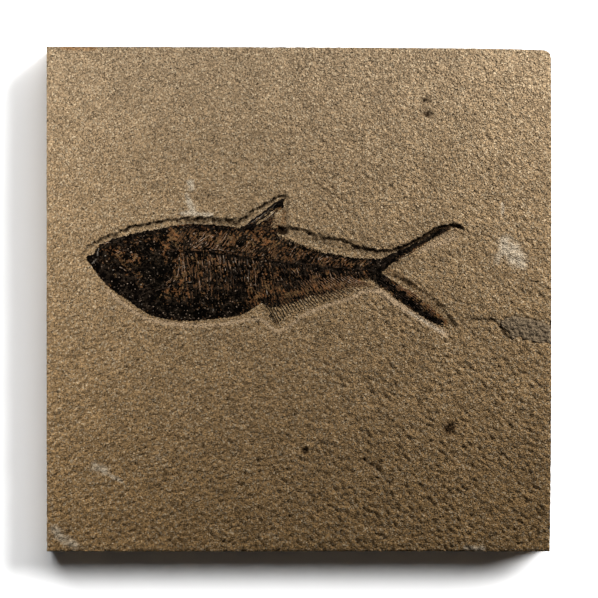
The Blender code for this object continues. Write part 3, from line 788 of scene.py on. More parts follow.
class Growth(Tree):
    """A Geometry Nodes tree that grows a piece from a base mesh."""

    def __init__(self, name: str) -> None:
        """Start a tree with its base coming in and the grown piece going out.

        Args:
            name: The tree's name.
        """
        group = bpy.data.node_groups.new(name, "GeometryNodeTree")
        group.interface.new_socket("Base", in_out="INPUT", socket_type="NodeSocketGeometry")
        group.interface.new_socket("Grown", in_out="OUTPUT", socket_type="NodeSocketGeometry")
        super().__init__(group)
        self.given = self.add("NodeGroupInput")
        self.base = self.given.outputs["Base"]

    def size(self, name: str, kind: str = "Float") -> Socket:
        """A named input of the tree."""
        self.tree.interface.new_socket(name, in_out="INPUT", socket_type=f"NodeSocket{kind}")
        return self.given.outputs[name]

    def random(self, low: object, high: object, seed: object) -> Socket:
        """A random number, or a random vector where the ends are vectors, for each element.

        Args:
            low: The least.
            high: The most.
            seed: Seed of the numbers.

        Returns:
            The number or vector.
        """
        if isinstance(low, tuple):
            ends = {0: low, 1: high, 8: seed}
            return self.add("FunctionNodeRandomValue", ends, data_type="FLOAT_VECTOR").outputs[0]
        ends = {2: low, 3: high, 8: seed}
        return self.add("FunctionNodeRandomValue", ends, data_type="FLOAT").outputs[1]

    def stored(self, name: object) -> Socket:
        """A number stored on the geometry under that name."""
        return self.add("GeometryNodeInputNamedAttribute", {"Name": name}, data_type="FLOAT").outputs[0]

    def end(self, grown: Socket) -> None:
        """Make the grown piece real and give it its material.

        Args:
            grown: The grown geometry.
        """
        solid = self.add("GeometryNodeRealizeInstances", {"Geometry": grown}).outputs[0]
        dress = {"Geometry": solid, "Material": self.size("Finish", "Material")}
        dressed = self.add("GeometryNodeSetMaterial", dress)
        self.add("NodeGroupOutput", {"Grown": dressed.outputs[0]})

    def grow(self, base: Piece, name: str, values: dict[str, object]) -> Piece:
        """Grow a piece.

        Args:
            base: The object whose mesh the piece grows from, left as it was.
            name: The piece's name.
            values: The tree's inputs by name.

        Returns:
            The piece, as a plain mesh.
        """
        modifier = base.modifiers.new(name, "NODES")
        modifier.node_group = self.tree
        for socket in self.tree.interface.items_tree:
            if socket.in_out == "INPUT" and socket.name in values:
                modifier[socket.identifier] = values[socket.name]
        graph = bpy.context.evaluated_depsgraph_get()
        grown = base.evaluated_get(graph)
        mesh = bpy.data.meshes.new_from_object(grown, preserve_all_data_layers=True, depsgraph=graph)
        base.modifiers.remove(modifier)
        piece = bpy.data.objects.new(name, mesh)
        bpy.context.scene.collection.objects.link(piece)
        return piece


def strand_growth() -> Growth:
    """The tree that drapes lines over a skin and sweeps a round bone of varying girth along each.

    Returns:
        The tree.
    """
    tree = Growth("drape_strands")
    skin = tree.add("GeometryNodeObjectInfo", {"Object": tree.size("Skin", "Object")}).outputs["Geometry"]
    curve = tree.add("GeometryNodeMeshToCurve", {"Mesh": tree.base}).outputs[0]
    step = {"Curve": curve, "Length": tree.size("Step")}
    curve = tree.add("GeometryNodeResampleCurve", step, mode="LENGTH").outputs[0]
    place = tree.add("ShaderNodeSeparateXYZ", {0: tree.add("GeometryNodeInputPosition").outputs[0]}).outputs
    above = tree.add("ShaderNodeCombineXYZ", {0: place[0], 1: place[1], 2: tree.size("Above")}).outputs[0]
    ray = {
        "Target Geometry": skin, "Attribute": tree.stored("coal"), "Source Position": above,
        "Ray Direction": (0.0, 0.0, -1.0), "Ray Length": 0.05,
    }
    hit = tree.add("GeometryNodeRaycast", ray, data_type="FLOAT", mapping="INTERPOLATED").outputs
    lift = tree.add("ShaderNodeCombineXYZ", {2: tree.size("Lift")}).outputs[0]
    rest = tree.add("ShaderNodeVectorMath", {0: hit["Hit Position"], 1: lift}, operation="ADD").outputs[0]
    keep = {"Geometry": curve, "Name": "coal", "Value": hit["Attribute"]}
    curve = tree.add("GeometryNodeStoreNamedAttribute", keep, data_type="FLOAT", domain="POINT").outputs[0]
    draped = {"Geometry": curve, "Selection": hit["Is Hit"], "Position": rest}
    curve = tree.add("GeometryNodeSetPosition", draped).outputs[0]
    missed = tree.math("SUBTRACT", 1.0, hit["Is Hit"])
    curve = tree.add("GeometryNodeDeleteGeometry", {"Geometry": curve, "Selection": missed}).outputs[0]
    curve = tree.add("GeometryNodeSetCurveNormal", {"Curve": curve}, mode="Z_UP").outputs[0]
    ring = {"Resolution": tree.size("Sides", "Int"), "Radius": 1.0}
    profile = tree.add("GeometryNodeCurvePrimitiveCircle", ring).outputs[0]
    swept = {"Curve": curve, "Profile Curve": profile, "Scale": tree.stored("girth"), "Fill Caps": True}
    tree.end(tree.add("GeometryNodeCurveToMesh", swept).outputs[0])
    return tree


def scatter_growth() -> Growth:
    """The tree that strews small lumps or plates over a face, each turned and tilted at random.

    Returns:
        The tree.
    """
    tree = Growth("strew_lumps")
    seed = tree.size("Seed", "Int")
    strewn = {
        "Mesh": tree.base, "Distance Min": tree.size("Spacing"), "Density Max": tree.size("Density"),
        "Density Factor": tree.stored(tree.size("Where", "String")), "Seed": seed,
    }
    spots = tree.add("GeometryNodeDistributePointsOnFaces", strewn, distribute_method="POISSON").outputs
    keep = {"Geometry": spots["Points"], "Name": "tint", "Value": tree.random(-1.0, 1.0, 3)}
    points = tree.add("GeometryNodeStoreNamedAttribute", keep, data_type="FLOAT", domain="POINT").outputs[0]
    tilt = tree.size("Tilt")
    down = tree.math("MULTIPLY", tilt, -1.0)
    least = tree.add("ShaderNodeCombineXYZ", {0: down, 1: down, 2: 0.0}).outputs[0]
    most = tree.add("ShaderNodeCombineXYZ", {0: tilt, 1: tilt, 2: math.tau}).outputs[0]
    ends = {0: least, 1: most, 8: seed}
    turn = tree.add("FunctionNodeRandomValue", ends, data_type="FLOAT_VECTOR").outputs[0]
    turned = {"Rotation": spots["Rotation"], "Rotate By": turn}
    facing = tree.add("FunctionNodeRotateRotation", turned, rotation_space="LOCAL").outputs[0]
    shape = tree.random((0.7, 0.7, 0.8), (1.3, 1.0, 1.2), 5)
    across = tree.random(tree.size("Least"), tree.size("Most"), 9)
    flat = tree.add("ShaderNodeCombineXYZ", {0: 1.0, 1: 1.0, 2: tree.size("Flatness")}).outputs[0]
    shape = tree.add("ShaderNodeVectorMath", {0: shape, 1: flat}, operation="MULTIPLY").outputs[0]
    scale = tree.add("ShaderNodeVectorMath", {0: shape, "Scale": across}, operation="SCALE").outputs[0]
    lump = tree.add("GeometryNodeMeshIcoSphere", {"Radius": 1.0, "Subdivisions": 1}).outputs[0]
    placed = {"Points": points, "Instance": lump, "Rotation": facing, "Scale": scale}
    lumps = tree.add("GeometryNodeInstanceOnPoints", placed).outputs[0]
    sink = tree.add("ShaderNodeCombineXYZ", {2: tree.math("MULTIPLY", tree.size("Sink"), -1.0)}).outputs[0]
    lumps = tree.add("GeometryNodeTranslateInstances", {"Instances": lumps, "Translation": sink}).outputs[0]
    tree.end(tree.add("GeometryNodeSetShadeSmooth", {"Geometry": lumps}).outputs[0])
    return tree


# The stone tile.

PIT_STEEPNESS = 1.5


@dataclass(frozen=True)
class Pit:
    """An oval hollow in the tile's face."""

    centre: Point
    half_length: float
    half_width: float
    turn: float
    depth: float
    # How dark the pit is painted: sooty staining and painted shade in the hollow.
    soot_and_shade: float = 0.0

    def reach(self, places: Places) -> np.ndarray:
        """How deep in the pit each place is: 1 at its middle, falling away past its edge.

        Args:
            places: The places.

        Returns:
            The share of the pit's depth at each place.
        """
        turn = math.radians(self.turn)
        offset = places - self.centre
        along = (offset @ [math.cos(turn), math.sin(turn)]) / self.half_length
        across = (offset @ [-math.sin(turn), math.cos(turn)]) / self.half_width
        return np.exp(-((along**2 + across**2) ** PIT_STEEPNESS))


PITS = (
    Pit((37.4, 59.0), 1.2, 0.8, 0.0, 0.7, 0.8),
    Pit((37.0, 56.8), 0.7, 0.6, 0.0, 0.5, 0.5),
    Pit((38.2, 54.9), 1.8, 1.0, -5.0, 0.7, 0.75),
    Pit((1.8, -45.1), 1.4, 1.0, 50.0, 0.7, 0.8),
    Pit((0.6, -47.3), 0.9, 0.3, -60.0, 0.3, 0.6),
    Pit((44.8, -38.5), 2.3, 1.5, 50.0, 0.7, 0.75),
    Pit((23.5, -53.1), 0.8, 0.45, -35.0, 0.5, 0.9),
    Pit((-26.9, 30.8), 0.45, 0.45, 0.0, 0.4, 0.8),
    Pit((-57.2, -50.6), 3.0, 1.5, -40.0, 0.3),
    Pit((-70.1, -70.8), 3.2, 2.0, 20.0, 0.3),
    Pit((52.2, -5.9), 5.5, 0.35, -3.0, 0.3, 0.45),
    Pit((57.4, -6.2), 1.2, 0.5, -35.0, 0.5, 0.7),
    Pit((-50.5, -18.7), 2.6, 0.3, 4.0, 0.15, 0.25),
    Pit((-5.4, 20.4), 1.9, 1.2, -12.0, 1.3, 1.9),
    Pit((60.6, -9.4), 3.4, 0.6, -56.0, 0.8, 0.9),
)
CRACK = ((19.4, -47.4), (20.2, -48.3), (22.6, -50.1), (24.4, -51.8), (25.8, -53.6), (27.0, -55.1))

# Where the trough has no steep wall.
WORN_WALLS = (
    Smudge(((29.5, 8.0), (36.4, 3.8), (41.6, -0.8), (46.6, -8.4)), 2.6, 1.6),
    Smudge(((-66.0, 12.0), (-65.0, 14.0)), 1.8, 1.4),
    Smudge(((-3.0, 28.4), (-3.0, 23.4)), 1.4, 1.2),
)
# Painted highlight: pale bands along the trough's lower walls and under the upper tail lobe, where the walls
# face the lamps.
LIT_WALL_MARKS = (
    Smudge(
        (
            (-57.0, 2.4), (-50.4, -3.0), (-45.6, -6.0), (-39.8, -7.1), (-33.9, -7.8), (-23.7, -7.7),
            (-15.6, -6.2), (-11.2, -6.0), (-8.4, -8.6), (-5.9, -9.8), (-2.9, -8.1), (2.1, -4.3),
            (8.1, -2.0), (15.3, 0.2), (19.1, 2.2), (23.3, 2.6),
        ),
        0.6,
        0.75,
    ),
    Smudge(((23.3, 2.6), (28.0, -0.7), (33.5, -4.3), (38.5, -7.3), (43.2, -10.2)), 0.95, 1.0),
    Smudge(((36.4, 14.6), (41.0, 16.4), (46.6, 18.4)), 1.1, 0.6),
)
# Where the face is chalky; the first mark is a painted highlight along the lit wall under the lower tail
# lobe.
CHALK_AND_LIT_MARKS = (
    Smudge(((32.6, -3.8), (38.5, -7.4), (42.8, -10.0)), 0.55, 0.55),
    Smudge(((-32.4, 34.6), (-32.0, 33.2)), 1.1, 0.85),
    Smudge(((-33.2, 30.8), (-32.8, 29.4)), 0.8, 0.7),
    Smudge(((-32.4, 28.4), (-31.6, 26.6)), 1.1, 0.75),
    Smudge(((-34.8, 25.4), (-31.0, 25.3), (-26.0, 24.9)), 0.7, 0.8),
    Smudge(((61.2, 16.8), (63.4, 15.2), (65.4, 12.4)), 2.3, 0.75),
    Smudge(((60.6, 13.8), (58.8, 11.6)), 1.5, 0.5),
    Smudge(((63.2, 11.2), (66.6, 10.0)), 1.5, 0.5),
    Smudge(((60.5, 28.2), (60.5, 25.2)), 0.5, 0.7),
    Smudge(((-60.6, -49.8), (-57.8, -51.0)), 1.5, 0.75),
    Smudge(((-55.8, -52.6), (-52.8, -54.1)), 0.6, 0.7),
    Smudge(((-72.6, -68.6), (-70.0, -71.4), (-66.8, -73.2)), 1.5, 0.75),
    Smudge(((49.6, -73.9), (54.6, -74.2)), 0.9, 0.8),
    Smudge(((-42.0, -47.1),), 0.9, 0.5),
    Smudge(((22.2, -50.2), (25.6, -53.6)), 0.5, 0.35),
)
# Where the face is rusty.
RUST_MARKS = (
    Smudge(((-70.4, 74.7), (-61.0, 74.6)), 0.8, 0.9),
    Smudge(((44.6, -38.3),), 2.2, 0.6),
    Smudge(((-4.7, 22.2), (-4.6, 25.8)), 0.9, 0.6),
    Smudge(((26.6, 8.2), (30.4, 6.4), (34.6, 3.6), (41.0, -2.4)), 1.4, 0.4),
    Smudge(((1.8, -45.1),), 1.6, 0.4),
)
# Where the face is dark: sooty marks, and painted shade in the trough under its shaded walls, along the upper
# tail lobe, beside the dorsal fin, in the tail's fork and along the groove to the scrap.
SOOT_AND_SHADE_MARKS = (
    Smudge(((45.6, -5.9), (52.0, -5.8), (58.8, -6.3)), 0.45, 0.3),
    Smudge(((29.4, 14.9), (33.4, 16.7), (37.0, 18.6), (40.2, 20.4), (43.0, 21.6), (47.6, 21.6)), 0.75, 0.85),
    Smudge(((32.6, 4.2), (37.4, 0.4), (41.6, -3.8), (45.2, -8.1)), 1.5, 0.3),
    Smudge(((26.2, 7.6), (29.6, 6.9), (33.0, 5.4)), 1.2, 0.36),
    Smudge(((26.4, 9.2), (30.0, 10.6), (34.0, 12.6)), 0.8, 0.3),
    Smudge(((-5.2, 28.6), (-4.6, 24.0)), 0.8, 0.3),
    Smudge(((-36.0, 22.6), (-27.0, 23.0), (-18.6, 22.1)), 0.95, 0.4),
    Smudge(((-1.0, 19.2), (8.0, 16.6), (18.0, 14.2), (26.0, 13.2)), 1.1, 0.34),
)


@dataclass
class Tile:
    """The stone tile: its grainy face with the trough round the fish, and its sawn sides."""

    fish: Places
    scrap: Places
    finish: SandyStone = field(default_factory=SandyStone)
    top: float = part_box("slab")[1].z / MM
    half_side: float = 75.0
    face_mean: float = 11.6
    edge_waves: Waves = (0.06, 1.3, 3.9)
    lumps: tuple[Waves, ...] = ((0.05, 9.0, 3.7), (0.12, 3.2, 1.3), (0.37, 0.96, 7.9))
    near_side_growth: float = 0.0042
    drifts: tuple[tuple[float, float], ...] = ((45.0, 1.15), (-45.0, 1.8))
    drift_change: tuple[float, float] = (-25.0, 25.0)
    pock_count: int = 240
    pock_depth: float = 0.12
    pock_radii: tuple[float, float] = (0.35, 0.85)
    pock_depths: tuple[float, float] = (0.4, 1.3)
    pock_seed: int = 31
    grain_room: float = 0.42
    bare_edge: float = 0.9
    crest_waves: tuple[Waves, ...] = ((0.28, 1.6, 2.1), (0.16, 0.7, 4.2))
    trough_floor: float = 10.9
    floor_waves: tuple[Waves, ...] = ((0.05, 2.4, 4.4), (0.07, 0.9, 2.2))
    wall_turn: float = 0.9
    steep_foot: float = 0.15
    gentle_foot: float = 0.5
    groove_depth: float = 0.36
    groove_half_width: float = 0.5
    groove_from_crest: float = 0.6
    under_fish: float = 0.4
    fish_lap: float = 0.15
    fish_lap_run: float = 0.45
    scrap_bed: float = 10.6
    scrap_waves: Waves = (0.25, 1.4, 6.6)
    scrap_wall: float = 0.5
    scrap_lip: float = 0.35
    scrap_least_depth: float = 0.35
    crack_depth: float = 0.65
    crack_half_width: float = 0.6
    edge_wear: float = 0.9
    least_wear: float = 0.08
    wear_waves: Waves = (1.0, 2.6, 9.3)
    most_more_wear: float = 0.25
    grain_step: float = 0.57
    fine_step: float = 0.31
    hidden_step: float = 1.8
    edge_step: float = 0.5
    line_step: float = 0.3
    edge_gap: float = 0.35
    fine_beyond: float = 0.7
    fine_within: float = 0.9
    hidden_within: float = 1.2
    side_levels: tuple[float, ...] = (11.2, 10.1, 8.9, 7.6, 6.2, 4.8, 3.3, 1.8, 0.7, 0.0)
    least_inset: float = 0.10
    deepest_inset: float = 0.6
    broad_inset: Waves = (0.16, 9.0, 8.1)
    rough_inset: Waves = (0.07, 1.6, 5.5)
    layer_inset: float = 0.12
    layer_pitch: float = 1.3
    # Painted shadow: darkening below the trough's steep upper walls, which face away from the lamps.
    wall_shadow: float = 0.72
    wall_shadow_from_crest: float = 0.45
    wall_shadow_half_width: float = 0.8
    scraping: float = 0.5
    scraping_half_width: float = 0.45
    patches: Waves = (0.8, 1.8, 5.1)
    patches_mean: float = 0.75
    marks_reach: float = 4.0
    # Painted shade along the crack's groove.
    crack_shade: float = 0.6
    crack_shade_half_width: float = 0.4
    layer_stretch: float = 14.0
    layer_waves: Waves = (0.5, 9.0, 2.7)
    palest_layer: float = 0.35
    rustiest_layer: float = 0.4

    def __post_init__(self) -> None:
        """Sample the lines that the face is measured from."""
        self.outline = ragged(closed_outline(TILE_SIDES, self.edge_step), self.edge_waves)
        self.outline = np.clip(self.outline, -self.half_side, self.half_side)
        self.edge = Course(self.outline, closed=True)
        self.crest_outline = closed_outline(CREST_STRETCHES, self.line_step)
        for waves in self.crest_waves:
            self.crest_outline = ragged(self.crest_outline, waves)
        self.crest = Course(self.crest_outline, closed=True)
        self.fish_rim = Course(self.fish, closed=True)
        self.scrap_rim = Course(self.scrap, closed=True)
        self.crack = Course(curve_through(CRACK, self.line_step))

    def places(self) -> Places:
        """Where the face's points are: close together round the fish, and few underneath it.

        Returns:
            The points inside the tile's outline.
        """
        low, high = self.outline.min(axis=0), self.outline.max(axis=0)
        coarse = lattice(low, high, self.grain_step, seed=5)
        coarse = coarse[self.edge.distance(coarse) > self.edge_gap]
        coarse = coarse[is_inside(coarse, self.outline)]
        near_low, near_high = self.crest_outline.min(axis=0) - 1, self.crest_outline.max(axis=0) + 1
        fine = lattice(near_low, near_high, self.fine_step, seed=6)
        hidden = lattice(near_low, near_high, self.hidden_step, seed=7)
        hidden = hidden[is_inside(hidden, self.fish)]
        hidden = hidden[self.fish_rim.distance(hidden) > self.hidden_within]
        return np.vstack([coarse[~self.is_fine(coarse)], fine[self.is_fine(fine, True)], hidden])

    def is_fine(self, places: Places, leave_out_hidden: bool = False) -> np.ndarray:
        """Whether the face needs close points at each place.

        Args:
            places: The places.
            leave_out_hidden: Whether to leave out what is deep under the fish.

        Returns:
            True at each place near the trough.
        """
        near = is_inside(places, self.crest_outline) | (self.crest.distance(places) < self.fine_beyond)
        if leave_out_hidden:
            hidden = is_inside(places, self.fish)
            hidden[hidden] = self.fish_rim.distance(places[hidden]) > self.fine_within
            near &= ~hidden
        return near

    def grainy(self, places: Places) -> Heights:
        """Height of the face before anything is worked into it.

        Args:
            places: The places.

        Returns:
            The height at each place.
        """
        height = np.full(len(places), self.face_mean)
        for amount, length, seed in self.lumps:
            height += amount * self.drifted(places, length, seed) * (1 - self.near_side_growth * places[:, 1])
        return height

    def drifted(self, places: Places, length: float, seed: float) -> Heights:
        """Unevenness drawn out along one slant at the tile's left and along another at its right.

        Args:
            places: The places.
            length: About how far across its lumps are, before they are drawn out.
            seed: Seed of the noise.

        Returns:
            The unevenness, between about -1 and 1.
        """
        start, end = self.drift_change
        share = eased((places[:, 0] - start) / (end - start))
        height = np.zeros(len(places))
        for (turn, stretch), weight in zip(self.drifts, (1 - share, share)):
            way = np.array([math.cos(math.radians(turn)), math.sin(math.radians(turn))])
            along, across = places @ way / stretch, places @ [-way[1], way[0]]
            height += weight * unevenness(np.column_stack([along, across]), length, seed + turn)
        return height / np.hypot(share, 1 - share)

    def pocks(self, places: Places) -> Heights:
        """How deep the small pock marks scattered over the face are.

        Args:
            places: The places.

        Returns:
            The depth at each place.
        """
        random = np.random.default_rng(self.pock_seed)
        reach = self.half_side - 1
        centres = random.uniform(-reach, reach, (self.pock_count, 2))
        radii = random.uniform(*self.pock_radii, self.pock_count)
        depths = self.pock_depth * random.uniform(*self.pock_depths, self.pock_count)
        tree = KDTree(self.pock_count)
        for index, (x, y) in enumerate(centres):
            tree.insert((x, y, 0.0), index)
        tree.balance()
        found = [tree.find((x, y, 0.0)) for x, y in places]
        which = np.array([index for _, index, _ in found])
        away = np.array([distance for _, _, distance in found])
        return depths[which] * np.exp(-((away / radii[which]) ** 2))

    def trough(self, places: Places, height: Heights) -> Heights:
        """The height of the face with the trough worked into it.

        Args:
            places: The places.
            height: The face's height before.

        Returns:
            The height at each place.
        """
        inside = is_inside(places, self.crest_outline)
        spots = places[inside]
        crest, rim = self.crest.nearest(spots), self.fish_rim.nearest(spots)
        to_crest = np.linalg.norm(spots - crest, axis=1)
        to_fish = np.linalg.norm(spots - rim, axis=1)
        covered = is_inside(spots, self.fish)
        upper = self.facing(spots, crest, rim)
        foot = self.gentle_foot + (self.steep_foot - self.gentle_foot) * upper
        wall = eased(to_crest / (to_crest + to_fish) / foot)
        wall[covered] = 1
        floor = self.trough_floor + uneven(spots, *self.floor_waves)
        worked = height[inside] * (1 - wall) + floor * wall
        off_groove = (to_crest - self.groove_from_crest) / self.groove_half_width
        worked -= self.groove_depth * upper * np.exp(-(off_groove**2)) * ~covered
        under = self.under_fish * eased((to_fish - self.fish_lap) / self.fish_lap_run)
        worked -= np.where(covered, under, 0)
        height = height.copy()
        height[inside] = worked
        return height

    def facing(self, spots: Places, crest: Places, rim: Places) -> np.ndarray:
        """How far the trough's wall is a steep one that looks down the tile, from 0 to 1."""
        slope = (crest - rim)[:, 1] / np.maximum(np.linalg.norm(crest - rim, axis=1), 0.01)
        return np.clip(0.5 + self.wall_turn * slope, 0, 1) * np.clip(1 - marks(WORN_WALLS, spots), 0, 1)

    def scrap_hollow(self, places: Places, height: Heights) -> Heights:
        """The height of the face sunk under the fossil scrap.

        Args:
            places: The places.
            height: The face's height before.

        Returns:
            The height at each place.
        """
        inside = is_inside(places, self.scrap)
        away = self.scrap_rim.distance(places)
        depth = eased((away + uneven(places, self.scrap_waves)) / self.scrap_wall)
        depth = np.maximum(depth, self.scrap_least_depth)
        beside = height - self.scrap_lip * np.exp(-((away / self.scrap_lip) ** 2))
        return np.where(inside, height - (height - self.scrap_bed) * depth, beside)

    def height(self, places: Places) -> Heights:
        """Height of the finished face.

        Args:
            places: The places.

        Returns:
            The height at each place.
        """
        height = self.grainy(places) - self.pocks(places)
        height = self.trough(places, height)
        height = self.scrap_hollow(places, height)
        for pit in PITS:
            height -= pit.depth * pit.reach(places)
        height -= self.crack_depth * np.exp(-((self.crack.distance(places) / self.crack_half_width) ** 2))
        wear = eased(1 - self.edge.distance(places) / self.edge_wear)
        more = self.most_more_wear * np.clip(uneven(places, self.wear_waves), 0, 1)
        height -= wear * (self.least_wear + more)
        return np.minimum(height, self.top)

    def sides(self, rim: np.ndarray) -> Iterable[np.ndarray]:
        """The rings of points down the tile's rough sides, never outside its top edge.

        Args:
            rim: The points round the face's edge.

        Yields:
            A ring of as many points for each level, from the top down.
        """
        closed = np.vstack([rim[-1:], rim, rim[:1]])[:, :2]
        inward = sideways(closed)[1:-1]
        around = np.column_stack([rim[:, 0] + rim[:, 1], rim[:, 0] - rim[:, 1]])
        for level in self.side_levels:
            shifted = around + [0, 7.3 * level]
            amount, length, seed = self.broad_inset
            inset = self.least_inset + amount * (1 + unevenness(around + 1.7 * level, length, seed))
            inset += uneven(shifted, self.rough_inset)
            inset += self.layer_inset * (1 + noise.noise((level * self.layer_pitch, 3.0, 0.5)))
            sunk = rim[:, :2] + np.clip(inset, 0, self.deepest_inset)[:, None] * inward
            yield np.column_stack([sunk, np.full(len(rim), level)])

    def build(self) -> Piece:
        """The tile's mesh, painted and dressed.

        Returns:
            The piece.
        """
        places, faces = surface(self.places(), self.outline)
        face = np.column_stack([places, self.height(places)])
        points, solid_faces = close_below(face, faces, self.sides)
        piece = piece_of("sandstone_tile", points, solid_faces)
        self.paint_marks(piece, points, len(places))
        piece.data.materials.append(self.finish.material())
        return piece

    def trough_marks(self, places: Places) -> tuple[np.ndarray, np.ndarray]:
        """How freshly scraped the trough is at each place near it, and how dark the painted shadow under its
        steep upper walls is.

        Args:
            places: The places.

        Returns:
            How freshly scraped, and how dark with painted shadow, each from 0 up.
        """
        crest, rim = self.crest.nearest(places), self.fish_rim.nearest(places)
        to_crest = np.linalg.norm(places - crest, axis=1)
        to_fish = np.linalg.norm(places - rim, axis=1)
        upper = self.facing(places, crest, rim)
        worked = is_inside(places, self.crest_outline)
        patchy = np.clip(self.patches_mean + uneven(places, self.patches), 0, 1) * upper * worked
        fresh_and_lit = self.scraping * np.exp(-((to_fish / self.scraping_half_width) ** 2)) * patchy
        # Painted shadow below the steep upper walls, which face away from the lamps.
        off_wall_shadow = (to_crest - self.wall_shadow_from_crest) / self.wall_shadow_half_width
        return fresh_and_lit, self.wall_shadow * np.exp(-(off_wall_shadow**2)) * patchy

    def paint_marks(self, piece: Piece, points: np.ndarray, face_count: int) -> None:
        """Paint the scraped band, the chalky, rusty and sooty marks, the painted highlight and shade round
        the trough, the sides' layers, and where grains lie.

        Args:
            piece: The tile.
            points: All its points.
            face_count: How many of them are the face's.
        """
        face, side = points[:face_count, :2], points[face_count:]
        in_side = np.column_stack([side[:, 0] + side[:, 1], self.layer_stretch * side[:, 2]])
        layers = uneven(in_side, self.layer_waves)
        pale, rusty = np.clip(layers, 0, self.palest_layer), np.clip(-layers, 0, self.rustiest_layer)
        # Sooty marks, with painted shade in the pits, along the crack and round the trough.
        soot_and_shade = marks(SOOT_AND_SHADE_MARKS, face) + sum(pit.soot_and_shade * pit.reach(face) for pit in PITS)
        off_crack = self.crack.distance(face) / self.crack_shade_half_width
        soot_and_shade += self.crack_shade * np.exp(-(off_crack**2))
        # Painted highlight along the trough's lit lower walls, and the scraped band beside the fish.
        fresh_and_lit = marks(LIT_WALL_MARKS, face)
        near = self.crest.distance(face) < self.marks_reach
        scraped, wall_shadow = self.trough_marks(face[near])
        fresh_and_lit[near] += scraped
        soot_and_shade[near] += wall_shadow
        paint(piece, "fresh_and_lit", np.concatenate([fresh_and_lit, np.zeros(len(side))]))
        paint(piece, "chalk_and_lit", np.concatenate([marks(CHALK_AND_LIT_MARKS, face), pale]))
        paint(piece, "rust", np.concatenate([marks(RUST_MARKS, face), rusty]))
        paint(piece, "soot_and_shade", np.concatenate([soot_and_shade, np.zeros(len(side))]))
        open_face = ~is_inside(face, self.fish) & ~is_inside(face, self.scrap)
        open_face &= self.edge.distance(face) > self.bare_edge
        open_face &= points[:face_count, 2] < self.top - self.grain_room
        paint(piece, "grainy", np.concatenate([open_face.astype(float), np.zeros(len(side))]))


@dataclass
class SandGrains:
    """The coarse grains that stand out of the tile's face, rubbed level where they stand highest."""

    top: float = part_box("slab")[1].z / MM
    spacing: float = 1.0
    density: float = 1.0e6
    least: float = 0.22
    most: float = 0.5
    flatness: float = 0.42
    sink: float = 0.09
    tilt: float = 0.35
    seed: int = 12

    def build(self, tile: Piece, strew: Growth) -> Piece:
        """The grains, in the tile's own finish.

        Args:
            tile: The tile that they lie on.
            strew: The tree that strews them.

        Returns:
            The grains.
        """
        values = {
            "Spacing": self.spacing * MM, "Density": self.density, "Where": "grainy", "Seed": self.seed,
            "Least": self.least * MM, "Most": self.most * MM, "Flatness": self.flatness,
            "Sink": self.sink * MM, "Tilt": self.tilt, "Finish": tile.data.materials[0],
        }
        grains = strew.grow(tile, "sand_grains", values)
        points = np.empty(3 * len(grains.data.vertices), np.float32)
        grains.data.vertices.foreach_get("co", points)
        points[2::3] = np.minimum(points[2::3], self.top * MM)
        grains.data.vertices.foreach_set("co", points)
        return grains


# The fish.

EYE = (-51.2, 12.0)
GILL = (-43.2, 7.9)
SHOULDER = ((-36.4, 12.2), (-37.0, 8.2), (-38.9, 4.6), (-42.1, 2.7), (-47.4, 1.2))
SKULL_ROOF = ((-58.2, 14.8), (-54.0, 16.4), (-49.0, 17.9), (-43.8, 18.9))
JAW = ((-60.9, 11.2), (-58.6, 9.2), (-56.2, 7.2), (-53.6, 5.2), (-50.9, 3.3))
CHEEK = ((-56.0, 14.0), (-53.2, 15.2), (-49.2, 14.6), (-47.8, 11.6), (-48.4, 8.6))
NAPE = ((-41.4, 19.2), (-39.0, 17.6), (-37.2, 16.2))
BODY_LINE = ((-35.6, 4.7), (-32.6, 4.9), (-29.4, 4.8))
PLATE_EDGES = (SHOULDER, SKULL_ROOF, JAW, CHEEK, NAPE, BODY_LINE)

